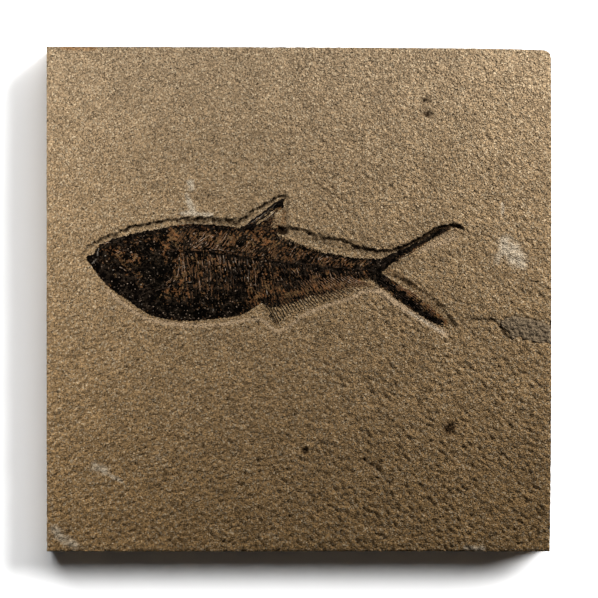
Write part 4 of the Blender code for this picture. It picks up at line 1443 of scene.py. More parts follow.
# Where the skin is blackest, where it is brown, where it is worn so thin that stone shows, and where
# its flakes lie loose and pale.
COAL_MARKS = (
    Smudge(((-62.6, 11.6), (-60.6, 12.6)), 1.5, 0.7),
    Smudge(((-60.8, 11.0), (-56.6, 6.6), (-53.0, 3.2), (-49.6, 0.8)), 2.0, 0.6),
    Smudge(((-43.6, 9.2), (-42.8, 5.8)), 2.9, 0.8),
    Smudge(((-50.4, 3.6), (-47.6, 1.0)), 3.0, 0.5),
    Smudge(((-45.6, -0.6), (-41.4, -2.6)), 2.6, 0.55),
    Smudge(((-38.6, -3.6), (-28.0, -4.8), (-20.6, -4.0)), 2.0, 0.7),
    Smudge(((-18.6, 9.6), (-17.8, 3.2), (-19.4, -2.6)), 2.4, 0.6),
    Smudge(((-30.0, 1.6), (-24.0, 0.6)), 2.6, 0.3),
    Smudge(((-26.0, 7.6), (-22.6, 6.0)), 2.2, 0.25),
    Smudge(((-38.0, 13.6), (-30.0, 13.7), (-17.4, 12.4), (-4.0, 10.4), (10.0, 9.0), (23.6, 8.6)), 0.75, 0.5),
    Smudge(((-1.2, 6.8),), 1.5, 0.5),
    Smudge(((-4.6, 5.0), (0.4, 4.4)), 1.4, 0.3),
    Smudge(((10.0, 7.4), (18.0, 7.0)), 1.2, 0.3),
    Smudge(((22.4, 10.2), (24.6, 8.4), (24.8, 6.0)), 2.0, 0.75),
    Smudge(((24.0, 9.8), (28.0, 12.6), (33.0, 15.2)), 1.4, 0.9),
    Smudge(((33.0, 15.2), (38.0, 17.9), (43.4, 20.7)), 0.65, 0.9),
    Smudge(((24.4, 5.8), (28.6, 2.3), (34.0, -1.9), (39.8, -6.0), (42.0, -7.4)), 1.0, 0.8),
    Smudge(((-55.8, 17.2), (-50.6, 18.7), (-44.8, 20.0)), 0.9, 0.55),
    Smudge(((-43.0, 20.4), (-34.0, 21.5), (-25.0, 21.5), (-18.0, 20.8)), 0.8, 0.4),
    Smudge(((-17.2, 21.2), (-12.0, 24.8), (-7.0, 28.4), (-4.6, 29.6)), 0.35, 0.5),
    Smudge(((-7.4, 27.4), (-5.0, 29.0)), 0.9, 0.6),
    Smudge(((-47.0, 15.8), (-43.6, 16.4)), 1.5, 0.35),
    Smudge(((-7.2, -6.8), (-10.4, -2.0)), 0.3, 0.7),
    Smudge(((-10.6, -1.2),), 0.9, 0.6),
    Smudge(((-6.0, 15.6), (2.0, 14.6), (8.0, 12.8)), 0.8, 0.25),
    Smudge(((8.0, 13.4), (16.0, 12.0), (23.6, 11.6)), 0.45, 0.45),
)
BROWN_MARKS = (
    Smudge(((-52.6, 12.6), (-50.0, 11.2)), 2.3, 0.25),
    Smudge(((-29.0, 17.6), (-18.0, 17.6), (-8.0, 16.6)), 2.4, 0.2),
    Smudge(((-39.6, 15.6), (-36.6, 18.6)), 1.8, 0.3),
    Smudge(((-12.6, -0.4), (-11.6, 1.4)), 1.3, 0.5),
    Smudge(((-35.6, 9.8), (-34.4, 5.8)), 1.3, 0.35),
    Smudge(((-27.6, 10.6), (-22.6, 10.0)), 1.8, 0.25),
    Smudge(((-10.0, 5.6), (-7.6, 2.0)), 2.0, 0.3),
    Smudge(((-4.0, 1.0), (4.0, 2.6), (12.0, 4.0), (19.0, 5.2)), 1.4, 0.45),
    Smudge(((14.0, 10.6), (20.6, 10.2)), 0.8, 0.3),
    Smudge(((-40.6, 1.6), (-37.6, 2.6)), 1.0, 0.35),
    Smudge(((29.5, 4.0), (34.0, 1.4), (38.6, -2.2), (43.8, -6.6)), 1.2, 0.6),
    Smudge(((29.0, 12.0), (33.6, 14.4), (37.4, 16.6)), 0.5, 0.5),
    Smudge(((-54.0, 6.4), (-51.0, 4.6), (-47.0, 3.4)), 1.6, 0.28),
    Smudge(((-59.4, 13.6), (-58.8, 10.4)), 1.2, 0.3),
    Smudge(((-7.0, 22.6), (-6.4, 26.6)), 1.0, 0.6),
)
THIN_MARKS = (
    Smudge(((25.4, 7.6), (28.6, 5.4), (32.0, 3.4)), 0.6, 0.5),
    Smudge(((25.4, 7.8), (28.4, 10.4)), 0.7, 0.5),
    Smudge(((-5.6, 25.8), (-6.6, 23.6), (-7.6, 21.6)), 1.2, 0.65),
    Smudge(((-8.0, 25.6), (-10.2, 24.0), (-12.4, 22.6)), 1.1, 0.7),
    Smudge(((-9.4, -3.0), (-6.6, -4.0), (-1.4, -2.6), (4.0, -0.4)), 1.3, 0.9),
    Smudge(((-5.8, 19.2), (0.6, 16.6), (8.0, 14.0)), 0.9, 0.55),
    Smudge(((-5.6, -5.0), (-2.6, -4.0), (3.0, -1.8), (9.2, 0.0), (16.0, 2.3), (21.0, 3.9)), 2.0, 1.05),
    Smudge(((30.0, 11.6), (35.9, 15.0), (41.9, 18.7), (44.8, 20.0)), 0.5, 0.8),
    Smudge(((31.5, 3.6), (37.4, -0.4), (43.4, -5.6)), 0.8, 0.45),
    Smudge(((42.6, -7.6), (44.6, -8.2)), 0.9, 0.6),
    Smudge(((45.6, 20.9), (47.8, 20.8)), 0.8, 0.9),
)
LOOSE_MARKS = (
    Smudge(((-61.6, 10.4), (-60.2, 13.4), (-58.4, 15.4)), 1.2, 0.6),
    Smudge(((-58.6, 8.2), (-54.4, 4.6)), 1.3, 0.5),
    Smudge(((-50.0, 4.4), (-48.6, 0.6), (-46.6, -0.8)), 1.7, 0.8),
    Smudge(((-45.6, -1.6), (-41.0, -3.8), (-37.4, -5.2)), 1.4, 0.6),
    Smudge(((-33.0, -3.8), (-26.0, -3.6), (-19.0, -2.6)), 2.6, 0.7),
    Smudge(((-54.0, 13.8), (-49.0, 12.6)), 1.8, 0.3),
    Smudge(((-21.0, 6.0), (-17.6, 1.6)), 2.2, 0.4),
)


def ridge(distance: np.ndarray, half_width: float) -> np.ndarray:
    """A rounded ridge with a furrow at its foot, as a share of its height."""
    foot = (distance - 1.7 * half_width) / (0.7 * half_width)
    return np.exp(-((distance / half_width) ** 2)) - 0.5 * np.exp(-(foot**2))


@dataclass
class FishSkin:
    """The fish's thin flaky body, head plates and fins, fixed in the tile."""

    outline: Places
    finish: FossilSkin = field(default_factory=FossilSkin)
    rim: float = 11.02
    bottom: float = 10.8
    rise: float = 0.5
    rise_run: float = 3.2
    flakes: tuple[tuple[float, float, float, int], ...] = ((1.15, 0.14, 0.07, 3), (0.5, 0.22, 0.035, 4))
    plate_height: float = 0.13
    plate_half_width: float = 0.42
    ring_half_width: float = 0.4
    eye_radius: float = 2.3
    eye_height: float = 0.18
    socket_radius: float = 1.6
    socket_depth: float = 0.15
    gill_radius: float = 3.7
    gill_height: float = 0.16
    flutes: int = 26
    flutes_radius: float = 2.6
    flutes_half_width: float = 1.2
    flute_height: float = 0.035
    mesh_step: float = 0.205
    rim_gap: float = 0.1
    line_step: float = 0.3
    relief_run: float = 0.7
    coal_level: float = 0.62
    coal_waves: tuple[Waves, ...] = ((0.26, 2.6, 8.8), (0.3, 1.1, 3.3))
    head_coal: float = 0.14
    head_end: float = -38.0
    streak: float = 0.3
    streak_waves: Waves = (0.45, 3.0, 7.7)
    rib_pitch: float = 1.0
    tail_start: float = 25.0
    tail_middle: float = 8.0
    tail_leans: tuple[float, float] = (29.0, -41.0)
    tail_pitch: float = 0.62
    spine_lean: float = 49.0
    rim_thinness: float = 0.28
    rim_thin_run: float = 0.25
    amber_level: float = 0.3
    amber_waves: Waves = (0.2, 2.0, 1.9)
    loose_level: float = 0.25
    loose_waves: Waves = (0.5, 2.2, 4.6)
    bare_rim: float = 0.5

    def __post_init__(self) -> None:
        """Sample the outline that the crown is measured from."""
        self.edge = Course(self.outline, closed=True)

    def flaked(self, places: Places, spacing: float, tilt: float, lift: float, seed: int) -> Heights:
        """Height of a layer of small flat flakes, each tilted its own way.

        Args:
            places: The places.
            spacing: How far apart the flakes' middles are.
            tilt: The steepest tilt, as rise over run.
            lift: The most that a flake stands up or sinks.
            seed: Seed of the flakes.

        Returns:
            The height at each place.
        """
        random = np.random.default_rng(seed)
        middles = lattice(self.outline.min(axis=0) - 1, self.outline.max(axis=0) + 1, spacing, seed)
        tilts = random.uniform(-tilt, tilt, middles.shape)
        lifts = random.uniform(-lift, lift, len(middles))
        tree = KDTree(len(middles))
        for index, (x, y) in enumerate(middles):
            tree.insert((x, y, 0.0), index)
        tree.balance()
        which = np.array([tree.find((x, y, 0.0))[1] for x, y in places])
        return lifts[which] + (tilts[which] * (places - middles[which])).sum(axis=1)

    def head(self, places: Places) -> Heights:
        """Height of the plate edges, the eye socket and the gill cover over the crown.

        Args:
            places: The places.

        Returns:
            The height at each place.
        """
        height = np.zeros(len(places))
        for edge in PLATE_EDGES:
            away = Course(curve_through(edge, self.line_step)).distance(places)
            height += self.plate_height * ridge(away, self.plate_half_width)
        from_eye = np.linalg.norm(places - EYE, axis=1)
        height += (
            self.eye_height * ridge(np.abs(from_eye - self.eye_radius), self.ring_half_width)
            - self.socket_depth * np.exp(-((from_eye / self.socket_radius) ** 4))
        )
        offset = places - GILL
        from_gill = np.linalg.norm(offset, axis=1)
        flutes = np.cos(self.flutes * np.arctan2(offset[:, 1], offset[:, 0]))
        flutes *= np.exp(-(((from_gill - self.flutes_radius) / self.flutes_half_width) ** 2))
        height += self.gill_height * ridge(np.abs(from_gill - self.gill_radius), self.ring_half_width)
        return height + self.flute_height * flutes

    def height(self, places: Places) -> Heights:
        """Height of the skin at each place inside the outline.

        Args:
            places: The places.

        Returns:
            The height at each place.
        """
        inward = self.edge.distance(places)
        height = self.rim + self.rise * (1 - np.exp(-((inward / self.rise_run) ** 1.5)))
        relief = sum(self.flaked(places, *layer) for layer in self.flakes) + self.head(places)
        return height + relief * eased(inward / self.relief_run)

    def under_rim(self, rim: np.ndarray) -> Iterable[np.ndarray]:
        """The one ring of points under the rim, sunk in the stone."""
        yield np.column_stack([rim[:, :2], np.full(len(rim), self.bottom)])

    def build(self) -> Piece:
        """The skin's mesh, painted and dressed.

        Returns:
            The piece.
        """
        field_points = lattice(self.outline.min(axis=0), self.outline.max(axis=0), self.mesh_step, seed=21)
        field_points = field_points[is_inside(field_points, self.outline)]
        field_points = field_points[self.edge.distance(field_points) > self.rim_gap]
        places, faces = surface(field_points, self.outline)
        skin = np.column_stack([places, self.height(places)])
        points, solid_faces = close_below(skin, faces, self.under_rim)
        piece = piece_of("fish_skin", points, solid_faces)
        self.paint_marks(piece, points[:, :2])
        piece.data.materials.append(self.finish.material())
        return piece

    def streaks(self, places: Places) -> Heights:
        """Fine stripes, from -1 to 1, along the ribs, the spines above them and the tail's rays.

        Args:
            places: The places.

        Returns:
            The stripes at each place.
        """
        x, y = places.T
        spine = curve_through(BACKBONE, 0.5)
        lean = np.interp(x, (-30.0, -8.0, 20.0), (-84.0, -76.0, -52.0))
        lean = np.where(y > np.interp(x, spine[:, 0], spine[:, 1]), self.spine_lean, lean)
        in_tail = x > self.tail_start
        pitch = np.where(in_tail, self.tail_pitch, self.rib_pitch)
        lean = np.radians(np.where(in_tail, np.where(y > self.tail_middle, *self.tail_leans), lean))
        across = (y * np.cos(lean) - x * np.sin(lean)) / pitch + uneven(places, self.streak_waves)
        return np.cos(math.tau * across) * eased((x - self.head_end) / 3.0)

    def paint_marks(self, piece: Piece, places: Places) -> None:
        """Paint where the skin is black, brown and thin, and where flakes lie loose.

        Args:
            piece: The skin.
            places: Its points, seen from above.
        """
        inward = self.edge.distance(places)
        brown = marks(BROWN_MARKS, places)
        head = self.head_coal * eased((self.head_end - places[:, 0]) / 3.0)
        patchy = uneven(places, *self.coal_waves)
        coal = self.coal_level + head + patchy + marks(COAL_MARKS, places) - brown
        coal += self.streak * self.streaks(places)
        thin = marks(THIN_MARKS, places) + self.rim_thinness * np.exp(-inward / self.rim_thin_run)
        loose = self.loose_level + uneven(places, self.loose_waves) + marks(LOOSE_MARKS, places)
        paint(piece, "coal", np.clip(coal, 0, 1.2))
        paint(piece, "amber", self.amber_level + 1.1 * brown + uneven(places, self.amber_waves))
        paint(piece, "thin", thin)
        paint(piece, "loose", np.clip(loose, 0, 1))
        paint(piece, "flaky", np.clip(1 - 1.5 * thin, 0, 1) * (inward > self.bare_rim))


@dataclass
class Strand:
    """One bone, ray or vein: a line with its girth at both ends and its tone."""

    line: Places
    girth: tuple[float, float]
    tone: float
    is_whole: bool = False


@dataclass(frozen=True)
class BoneRow:
    """A row of bones that spring from the backbone."""

    start: float
    end: float
    pitch: float
    lean: float
    lengths: tuple[float, float]
    bow: float
    girth: float
    tone: float
    root_gap: float = 1.0
    lean_range: float = 3.0
    length_range: tuple[float, float] = (0.8, 1.08)
    girth_range: tuple[float, float] = (0.75, 1.2)
    tone_range: float = 0.2
    ripple: float = 0.12

    def strands(self, random: np.random.Generator) -> list[Strand]:
        """The row's bones, each a little different.

        Args:
            random: Where the differences come from.

        Returns:
            The bones.
        """
        spine = curve_through(BACKBONE, 0.5)
        roots = np.arange(self.start, self.end, self.pitch)
        bones = []
        for x, length in zip(roots, np.linspace(*self.lengths, len(roots))):
            lean = math.radians(self.lean + random.uniform(-self.lean_range, self.lean_range))
            way = np.array([math.cos(lean), math.sin(lean)])
            across = np.array([-way[1], way[0]])
            length *= random.uniform(*self.length_range)
            share = np.linspace(0, 1, 14)[:, None]
            root = np.array([x, np.interp(x, spine[:, 0], spine[:, 1])])
            line = root + way * (self.root_gap + share * length)
            bend = self.bow * length * share * (1 - share) + self.ripple * np.sin(9 * share + x)
            girth = self.girth * random.uniform(*self.girth_range)
            tone = self.tone + random.uniform(-self.tone_range, self.tone_range)
            bones.append(Strand(line + across * bend, (girth, 0.5 * girth), tone))
        return bones


BONE_ROWS = (
    BoneRow(-34.6, -11.0, 1.04, -85.0, (16.5, 11.0), 0.10, 0.15, 0.42),
    BoneRow(-34.1, -12.0, 1.04, -81.0, (14.0, 10.0), 0.14, 0.11, 0.34),
    BoneRow(-29.0, -15.0, 0.9, -86.0, (9.0, 7.0), 0.08, 0.11, 0.6),
    BoneRow(-38.6, 20.0, 1.1, 50.0, (8.2, 2.2), 0.05, 0.13, 0.46),
    BoneRow(-37.9, 18.0, 1.1, 46.0, (6.4, 2.0), -0.06, 0.10, 0.38),
    BoneRow(-10.0, 20.0, 1.1, -74.0, (8.0, 1.6), 0.05, 0.14, 0.38),
    BoneRow(-9.2, 18.0, 1.3, -60.0, (7.0, 2.2), -0.05, 0.11, 0.34),
)
ANAL_BASE = ((-10.5, -1.2), (2.2, 2.1), (19.0, 5.0))
ANAL_ROOTS = ((-12.4, 4.4), (0.4, 5.4), (15.4, 6.8))
ANAL_CORNER = (-7.1, -6.9)

# Hairlines of pale stone in the skin, and the pale edges of its bones.
PALE_VEINS = (
    (((-59.4, 15.8), (-59.9, 13.4), (-60.4, 11.4), (-61.8, 10.2)), 0.25, 1.0),
    (((-35.5, 12.4), (-35.7, 9.0), (-36.4, 6.4), (-38.9, 3.6), (-42.3, 2.5), (-47.8, 0.9)), 0.12, 0.6),
    (((-36.6, 12.0), (-36.8, 9.2), (-37.6, 6.6), (-39.4, 4.6), (-41.6, 3.6)), 0.09, 0.6),
    (((-34.4, 12.0), (-34.6, 8.6), (-35.0, 6.0)), 0.09, 0.55),
    (((-35.6, 4.9), (-32.6, 5.0), (-29.4, 4.9)), 0.12, 0.68),
    (((-26.0, 14.7), (-22.0, 14.5), (-18.4, 14.0)), 0.10, 0.72),
    (((-47.4, 17.2), (-44.4, 16.2), (-42.6, 14.6)), 0.10, 0.6),
    (((-45.6, 3.9), (-43.2, 5.0), (-41.6, 6.6)), 0.09, 0.6),
    (((-58.6, 16.3), (-55.4, 17.1), (-51.8, 18.2)), 0.10, 0.75),
    (((-53.2, 9.4), (-51.2, 8.4), (-49.6, 9.0)), 0.12, 0.6),
    (((-54.4, 13.4), (-52.6, 14.4), (-50.2, 14.1), (-48.8, 12.6)), 0.14, 0.5),
    (((-33.4, 14.9), (-30.0, 16.9), (-26.6, 19.0)), 0.10, 0.7),
    (((-31.4, 14.9), (-28.0, 17.0), (-24.8, 19.2)), 0.09, 0.62),
    (((-9.8, 3.6), (-9.5, 0.4)), 0.10, 0.8),
)
DORSAL_RAYS = (
    (((-16.9, 21.4), (-13.9, 23.3), (-10.9, 25.4), (-7.6, 27.9), (-5.2, 29.2)), 0.3, -0.1),
    (((-15.6, 21.2), (-12.4, 23.0), (-9.2, 25.2), (-6.6, 27.4)), 0.27, -0.1),
    (((-14.2, 21.0), (-11.0, 22.7), (-8.0, 24.9), (-6.4, 26.3)), 0.2, 0.0),
    (((-12.6, 20.9), (-9.6, 22.2), (-7.0, 24.2)), 0.14, 0.12),
    (((-10.8, 20.7), (-8.4, 21.7), (-6.6, 23.2)), 0.12, 0.18),
    (((-16.0, 21.7), (-12.9, 23.5), (-9.8, 25.8), (-6.6, 28.3)), 0.1, 0.85),
    (((-13.6, 21.4), (-10.4, 23.2), (-7.2, 25.8)), 0.1, 0.8),
)
PALE_CRUMBS = (
    (-49.3, -1.3), (-48.2, -0.3), (-47.0, 4.3), (-43.2, -3.6), (-34.9, -5.6), (-34.8, -4.9), (-30.0, -4.2),
    (-47.8, 3.6), (-59.0, 8.4), (-57.6, 12.8), (-46.8, -1.4), (-50.2, 0.6), (-55.0, 8.8), (-58.4, 13.6),
    (-44.6, 0.4), (-25.6, -3.2), (-21.6, -3.6), (-13.4, 2.6), (-15.2, 6.4), (-20.4, 0.8), (-23.0, -0.6),
)


def fan(
    base: Sequence[Point], margin: Sequence[Point], count: int, girth: float, tone: float
) -> list[Strand]:
    """Fin rays from a base line to a margin line.

    Args:
        base: The line that they start on.
        margin: The line that they run to.
        count: How many there are.
        girth: Their girth at the base.
        tone: The first ray's tone, which the others grow paler from.

    Returns:
        The rays.
    """
    starts, ends = curve_through(base, 0.1), curve_through(margin, 0.1)
    steps = np.linspace(0, 1, 12)[:, None]
    rays = []
    for share in np.linspace(0.01, 0.985, count):
        start = starts[round(share * (len(starts) - 1))]
        end = ends[round(share * (len(ends) - 1))]
        rays.append(Strand(start + (end - start) * steps, (girth, 0.6 * girth), tone + 0.45 * share, True))
    return rays


def lobe_rays(
    one_edge: Sequence[Point], other_edge: Sequence[Point], count: int, tones: tuple[float, float]
) -> list[Strand]:
    """Fin rays that run the length of a tail lobe, spread between its two edges.

    Args:
        one_edge: One edge of the lobe, from its root.
        other_edge: The other edge, from its root.
        count: How many rays there are.
        tones: The tone of the first and of the last.

    Returns:
        The rays.
    """
    edges = []
    for edge in (one_edge, other_edge):
        fine = curve_through(edge, 0.1)
        edges.append(fine[np.linspace(0, len(fine) - 1, 30).round().astype(int)])
    rays = []
    for share in np.linspace(0, 1, count + 2)[1:-1]:
        line = edges[0] * (1 - share) + edges[1] * share
        rays.append(Strand(line, (0.15, 0.07), tones[0] + share * (tones[1] - tones[0])))
    return rays


@dataclass
class Skeleton:
    """The bones, fin rays, pale veins and backbone that lie draped over the skin."""

    outline: Places
    finish: FossilBone = field(default_factory=FossilBone)
    step: float = 0.35
    lift: float = 0.03
    sides: int = 6
    seed: int = 8
    uneven: float = 0.45
    gap_below: float = -0.28
    wander: float = 0.16
    anal_rays: int = 36
    anal_roots: int = 33
    upper_lobe_rays: int = 7
    lower_lobe_rays: int = 8
    crumb_reach: float = 0.3
    rim_gap: float = 0.12
    spine_step: float = 0.2
    vertebra_pitch: float = 1.3
    vertebra_girth: tuple[float, float] = (0.14, 0.36)
    vertebra_sides: int = 10
    vertebra_sink: float = 0.12
    spine_tone: float = 0.22
    thinnest_spine: float = 0.75

    def strands(self) -> list[Strand]:
        """All the lines of the skeleton, before the fish's outline cuts them off.

        Returns:
            The lines.
        """
        random = np.random.default_rng(self.seed)
        found = [strand for row in BONE_ROWS for strand in row.strands(random)]
        found += fan(ANAL_BASE, (ANAL_CORNER, *ANAL_MARGIN[::-1]), self.anal_rays, 0.15, -0.1)
        found += fan(ANAL_ROOTS, ANAL_BASE, self.anal_roots, 0.12, 0.15)
        found += lobe_rays(UPPER_LOBE_TOP, UPPER_LOBE_UNDER[::-1], self.upper_lobe_rays, (0.08, 0.3))
        found += lobe_rays(LOWER_LOBE_TOP, LOWER_LOBE_UNDER[::-1], self.lower_lobe_rays, (0.5, 0.05))
        for lines, is_whole in ((PALE_VEINS, False), (DORSAL_RAYS, True)):
            for line, girth, tone in lines:
                found.append(Strand(curve_through(line, 0.3), (girth, 0.7 * girth), tone, is_whole))
        for place in PALE_CRUMBS:
            ends = np.array(place) + random.uniform(-self.crumb_reach, self.crumb_reach, (2, 2))
            found.append(Strand(ends, (0.2, 0.14), 1.0))
        return found

    def lines_object(self, strands: Iterable[Strand]) -> Piece:
        """A mesh of bare lines, with each point's girth and tone, for a tree to sweep.

        Args:
            strands: The bones, rays and veins.

        Returns:
            A helper object, cut off at the fish's outline.
        """
        edge = Course(self.outline, closed=True)
        points, edges, girths, tones = [], [], [], []
        for strand in strands:
            share = np.linspace(0, 1, len(strand.line))
            line = strand.line + self.wander * np.column_stack(
                [unevenness(strand.line, 1.1, 3.3), unevenness(strand.line, 1.1, 6.1)]
            )
            keep = is_inside(line, self.outline) & (edge.distance(line) > self.rim_gap)
            keep &= strand.is_whole | (unevenness(line, 1.3, 9.9) > self.gap_below)
            kept = line[keep]
            runs_on = np.diff(np.flatnonzero(keep)) == 1
            edges += [(at, at + 1) for at in len(points) + np.flatnonzero(runs_on)]
            points += [(x * MM, y * MM, 0.0) for x, y in kept]
            girth = np.interp(share[keep], (0, 1), strand.girth)
            girth = girth * (1 + self.uneven * unevenness(kept, 0.8, 2.2))
            girths += (girth * MM).tolist()
            tones += [strand.tone] * len(kept)
        mesh = bpy.data.meshes.new("bone_lines")
        mesh.from_pydata(points, edges, [])
        lines = bpy.data.objects.new("bone_lines", mesh)
        bpy.context.scene.collection.objects.link(lines)
        paint(lines, "girth", girths)
        paint(lines, "tone", tones)
        return lines

    def backbone(self) -> Strand:
        """The line of the row of vertebrae."""
        return Strand(curve_through(BACKBONE, self.spine_step), self.vertebra_girth, self.spine_tone)

    def build(self, skin: Piece, drape: Growth) -> list[Piece]:
        """The bones and the backbone, draped over the skin.

        Args:
            skin: The fish's skin.
            drape: The tree that drapes them.

        Returns:
            The bones and rays, and the vertebrae.
        """
        finish = self.finish.material()
        values = {
            "Skin": skin, "Step": self.step * MM, "Above": 0.02, "Lift": self.lift * MM,
            "Sides": self.sides, "Finish": finish,
        }
        lines = self.lines_object(self.strands())
        bones = drape.grow(lines, "bones_and_rays", values)
        spine = self.lines_object([self.backbone()])
        count = len(spine.data.vertices)
        along = self.spine_step * np.arange(count) / self.vertebra_pitch
        waist, swell = self.vertebra_girth
        girths = waist + (swell - waist) * np.abs(np.sin(math.pi * along)) ** 0.7
        girths = girths * np.linspace(1.0, self.thinnest_spine, count) * MM
        spine.data.attributes["girth"].data.foreach_set("value", girths.astype(np.float32))
        values |= {
            "Step": self.spine_step * MM, "Lift": -self.vertebra_sink * MM, "Sides": self.vertebra_sides,
        }
        vertebrae = drape.grow(spine, "vertebrae", values)
        for helper in (lines, spine):
            bpy.data.objects.remove(helper)
        return [bones, vertebrae]


@dataclass
class ScaleFlakes:
    """The loose flakes of scale and bone strewn over the skin."""

    spacing: float = 0.42
    density: float = 8.0e6
    least: float = 0.12
    most: float = 0.34
    flatness: float = 0.25
    sink: float = 0.01
    tilt: float = 0.4
    seed: int = 17

    def build(self, skin: Piece, strew: Growth) -> Piece:
        """The flakes, in the skin's own finish.

        Args:
            skin: The skin that they lie on.
            strew: The tree that strews them.

        Returns:
            The flakes.
        """
        values = {
            "Spacing": self.spacing * MM, "Density": self.density, "Where": "flaky", "Seed": self.seed,
            "Least": self.least * MM, "Most": self.most * MM, "Flatness": self.flatness,
            "Sink": self.sink * MM, "Tilt": self.tilt, "Finish": skin.data.materials[0],
        }
        return strew.grow(skin, "scale_flakes", values)


@dataclass
class FossilScrap:
    """The lumpy scrap of a second fossil at the tile's right edge."""

    outline: Places
    finish: ScrapCrust = field(default_factory=ScrapCrust)
    level: float = 11.66
    bottom: float = 10.9
    top: float = 11.96
    mesh_step: float = 0.24
    rim_gap: float = 0.1
    lumps: tuple[Waves, ...] = ((0.25, 1.5, 1.9), (0.22, 0.8, 6.1))
    seams: Waves = (1.0, 2.4, 4.9)
    seam_depth: float = 0.22
    seam_half_width: float = 0.09
    rim_drop: float = 0.35
    rim_run: float = 0.3

    def height(self, places: Places) -> Heights:
        """Height of the lumps at each place.

        Args:
            places: The places.

        Returns:
            The height at each place.
        """
        inward = Course(self.outline, closed=True).distance(places)
        seam = np.clip(1 - np.abs(uneven(places, self.seams)) / self.seam_half_width, 0, 1)
        lumpy = uneven(places, *self.lumps) - self.seam_depth * seam
        drop = self.rim_drop * np.exp(-((inward / self.rim_run) ** 2))
        return np.minimum(self.level + lumpy - drop, self.top)

    def under_rim(self, rim: np.ndarray) -> Iterable[np.ndarray]:
        """The one ring of points under the rim."""
        yield np.column_stack([rim[:, :2], np.full(len(rim), self.bottom)])

    def build(self) -> Piece:
        """The scrap's mesh, dressed.

        Returns:
            The piece.
        """
        spots = lattice(self.outline.min(axis=0), self.outline.max(axis=0), self.mesh_step, seed=41)
        spots = spots[is_inside(spots, self.outline)]
        spots = spots[Course(self.outline, closed=True).distance(spots) > self.rim_gap]
        places, faces = surface(spots, self.outline)
        crust = np.column_stack([places, self.height(places)])
        points, solid_faces = close_below(crust, faces, self.under_rim)
        piece = piece_of("fossil_scrap_crust", points, solid_faces)
        piece.data.materials.append(self.finish.material())
        return piece


# The studio.


class Shines(Enum):
    """What a lamp lights."""

    SPECIMEN = "specimen"
    FLOOR = "floor"


class LampKind(Enum):
    """The kinds of lamp: a soft-edged beam, and a far light that comes from one way."""

    BEAM = "SPOT"
    FAR = "SUN"


@dataclass(frozen=True)
class Lamp:
    """A studio lamp. Its softness is its radius, or for a far light the angle that it fills."""

    name: str
    kind: LampKind
    shines_on: Shines
    place: tuple[float, float, float]
    power: float
    softness: float
    aim: tuple[float, float, float] = (0.0, 0.0, 0.0)
    cone: float = 0.0

    def build(self, lit: bpy.types.Collection) -> None:
        """Hang the lamp, for the things it lights only.

        Args:
            lit: The things that it lights.
        """
        light = bpy.data.lights.new(self.name, self.kind.value)
        light.energy = self.power
        if self.kind is LampKind.FAR:
            light.angle = math.radians(self.softness)
        else:
            light.shadow_soft_size = self.softness * MM
            light.spot_size = math.radians(self.cone)
            light.spot_blend = 1.0
        lamp = bpy.data.objects.new(self.name, light)
        lamp.location = Vector(self.place) * MM
        lamp.rotation_euler = (Vector(self.place) - Vector(self.aim)).to_track_quat("Z", "Y").to_euler()
        lamp.visible_camera = False
        lamp.light_linking.receiver_collection = lit
        bpy.context.scene.collection.objects.link(lamp)


LAMPS = (
    Lamp(
        "key_upper_right", LampKind.BEAM, Shines.SPECIMEN, (220.0, 191.0, 206.0), 14.7, 24.0,
        aim=(204.0, 224.0, 12.0), cone=177.0,
    ),
    Lamp(
        "key_upper_left", LampKind.BEAM, Shines.SPECIMEN, (-238.0, 63.0, 196.0), 12.9, 24.0,
        aim=(-300.0, 91.0, 12.0), cone=177.0,
    ),
    Lamp("floor_right", LampKind.FAR, Shines.FLOOR, (613.0, 354.0, 373.0), 8.2, 30.4),
    Lamp("floor_top", LampKind.FAR, Shines.FLOOR, (47.0, 745.0, 287.0), 7.2, 75.8),
)


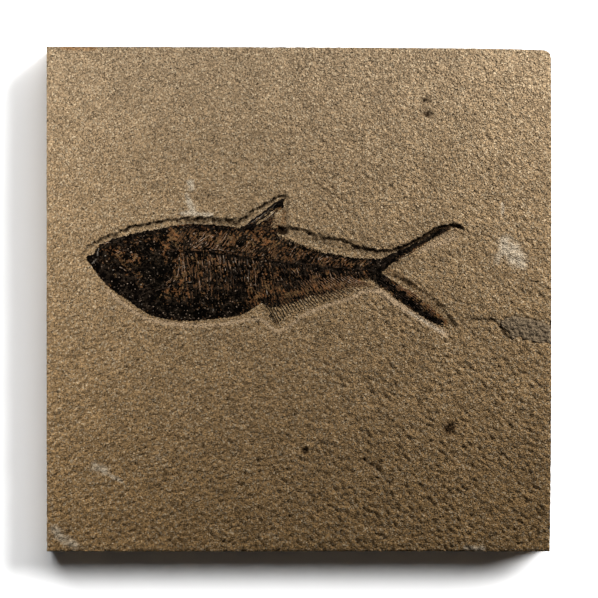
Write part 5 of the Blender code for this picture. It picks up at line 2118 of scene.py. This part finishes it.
@dataclass
class Studio:
    """The camera, the paper floor and the lamps."""

    camera_height: float = 1212.0
    frame_width: float = 177.6
    sensor: float = 36.0
    floor_half: float = 2500.0
    ambient: float = 0.03
    floor: PaleFloor = field(default_factory=PaleFloor)

    def camera(self) -> None:
        """Look straight down on the tile."""
        lens = bpy.data.cameras.new("camera")
        lens.sensor_width = self.sensor
        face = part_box("slab")[1].z / MM
        lens.lens = self.sensor * (self.camera_height - face) / self.frame_width
        lens.clip_end = 20.0
        camera = bpy.data.objects.new("camera", lens)
        camera.location = (0.0, 0.0, self.camera_height * MM)
        bpy.context.scene.collection.objects.link(camera)
        bpy.context.scene.camera = camera

    def paper(self) -> Piece:
        """The floor that the tile lies on.

        Returns:
            The floor.
        """
        half = self.floor_half
        corners = [(-half, -half, 0), (half, -half, 0), (half, half, 0), (-half, half, 0)]
        paper = piece_of("paper_floor", np.array(corners, float), [[0, 1, 2, 3]])
        paper.data.materials.append(self.floor.material())
        return paper

    def sky(self) -> None:
        """A faint even light all round, and plain white behind the floor."""
        world = bpy.data.worlds.new("studio")
        bpy.context.scene.world = world
        world.use_nodes = True
        sky = Tree(world.node_tree)
        back = world.node_tree.nodes["Background"]
        seen = sky.add("ShaderNodeLightPath").outputs["Is Camera Ray"]
        strength = sky.add("ShaderNodeMapRange", {0: seen, 3: self.ambient, 4: 1.0}).outputs[0]
        back.inputs["Color"].default_value = (1.0, 1.0, 1.0, 1.0)
        world.node_tree.links.new(strength, back.inputs["Strength"])

    def build(self, pieces: Iterable[Piece]) -> None:
        """Set up everything round the finished pieces.

        Args:
            pieces: The pieces.
        """
        self.camera()
        self.sky()
        lit = {}
        for what, members in ((Shines.SPECIMEN, list(pieces)), (Shines.FLOOR, [self.paper()])):
            lit[what] = bpy.data.collections.new(f"lit_{what.value}")
            for member in members:
                lit[what].objects.link(member)
        for lamp in LAMPS:
            lamp.build(lit[lamp.shines_on])
        bpy.context.scene.view_settings.view_transform = "Standard"


def main() -> None:
    """Build the fossil fish slab and its studio."""
    fish_outline = ragged(closed_outline(FISH_STRETCHES, RIM_STEP), FISH_WAVES)
    scrap_outline = ragged(closed_outline(SCRAP_STRETCHES, RIM_STEP), SCRAP_WAVES)
    scrap_outline[:, 0] = np.minimum(scrap_outline[:, 0], SCRAP_END)
    strew, drape = scatter_growth(), strand_growth()
    tile = Tile(fish_outline, scrap_outline).build()
    grains = SandGrains().build(tile, strew)
    skin = FishSkin(fish_outline).build()
    flakes = ScaleFlakes().build(skin, strew)
    bones, vertebrae = Skeleton(fish_outline).build(skin, drape)
    scrap = FossilScrap(scrap_outline).build()
    pieces = [
        hand_over(tile, "slab", "slab"),
        hand_over(grains, "slab"),
        hand_over(skin, "fish", "fish"),
        hand_over(flakes, "fish"),
        hand_over(bones, "fish"),
        hand_over(vertebrae, "fish"),
        hand_over(scrap, "fossil_scrap", "fossil_scrap"),
    ]
    Studio().build(pieces)


if __name__ == "__main__":
    logging.basicConfig(level=logging.INFO, format="%(message)s")
    main()
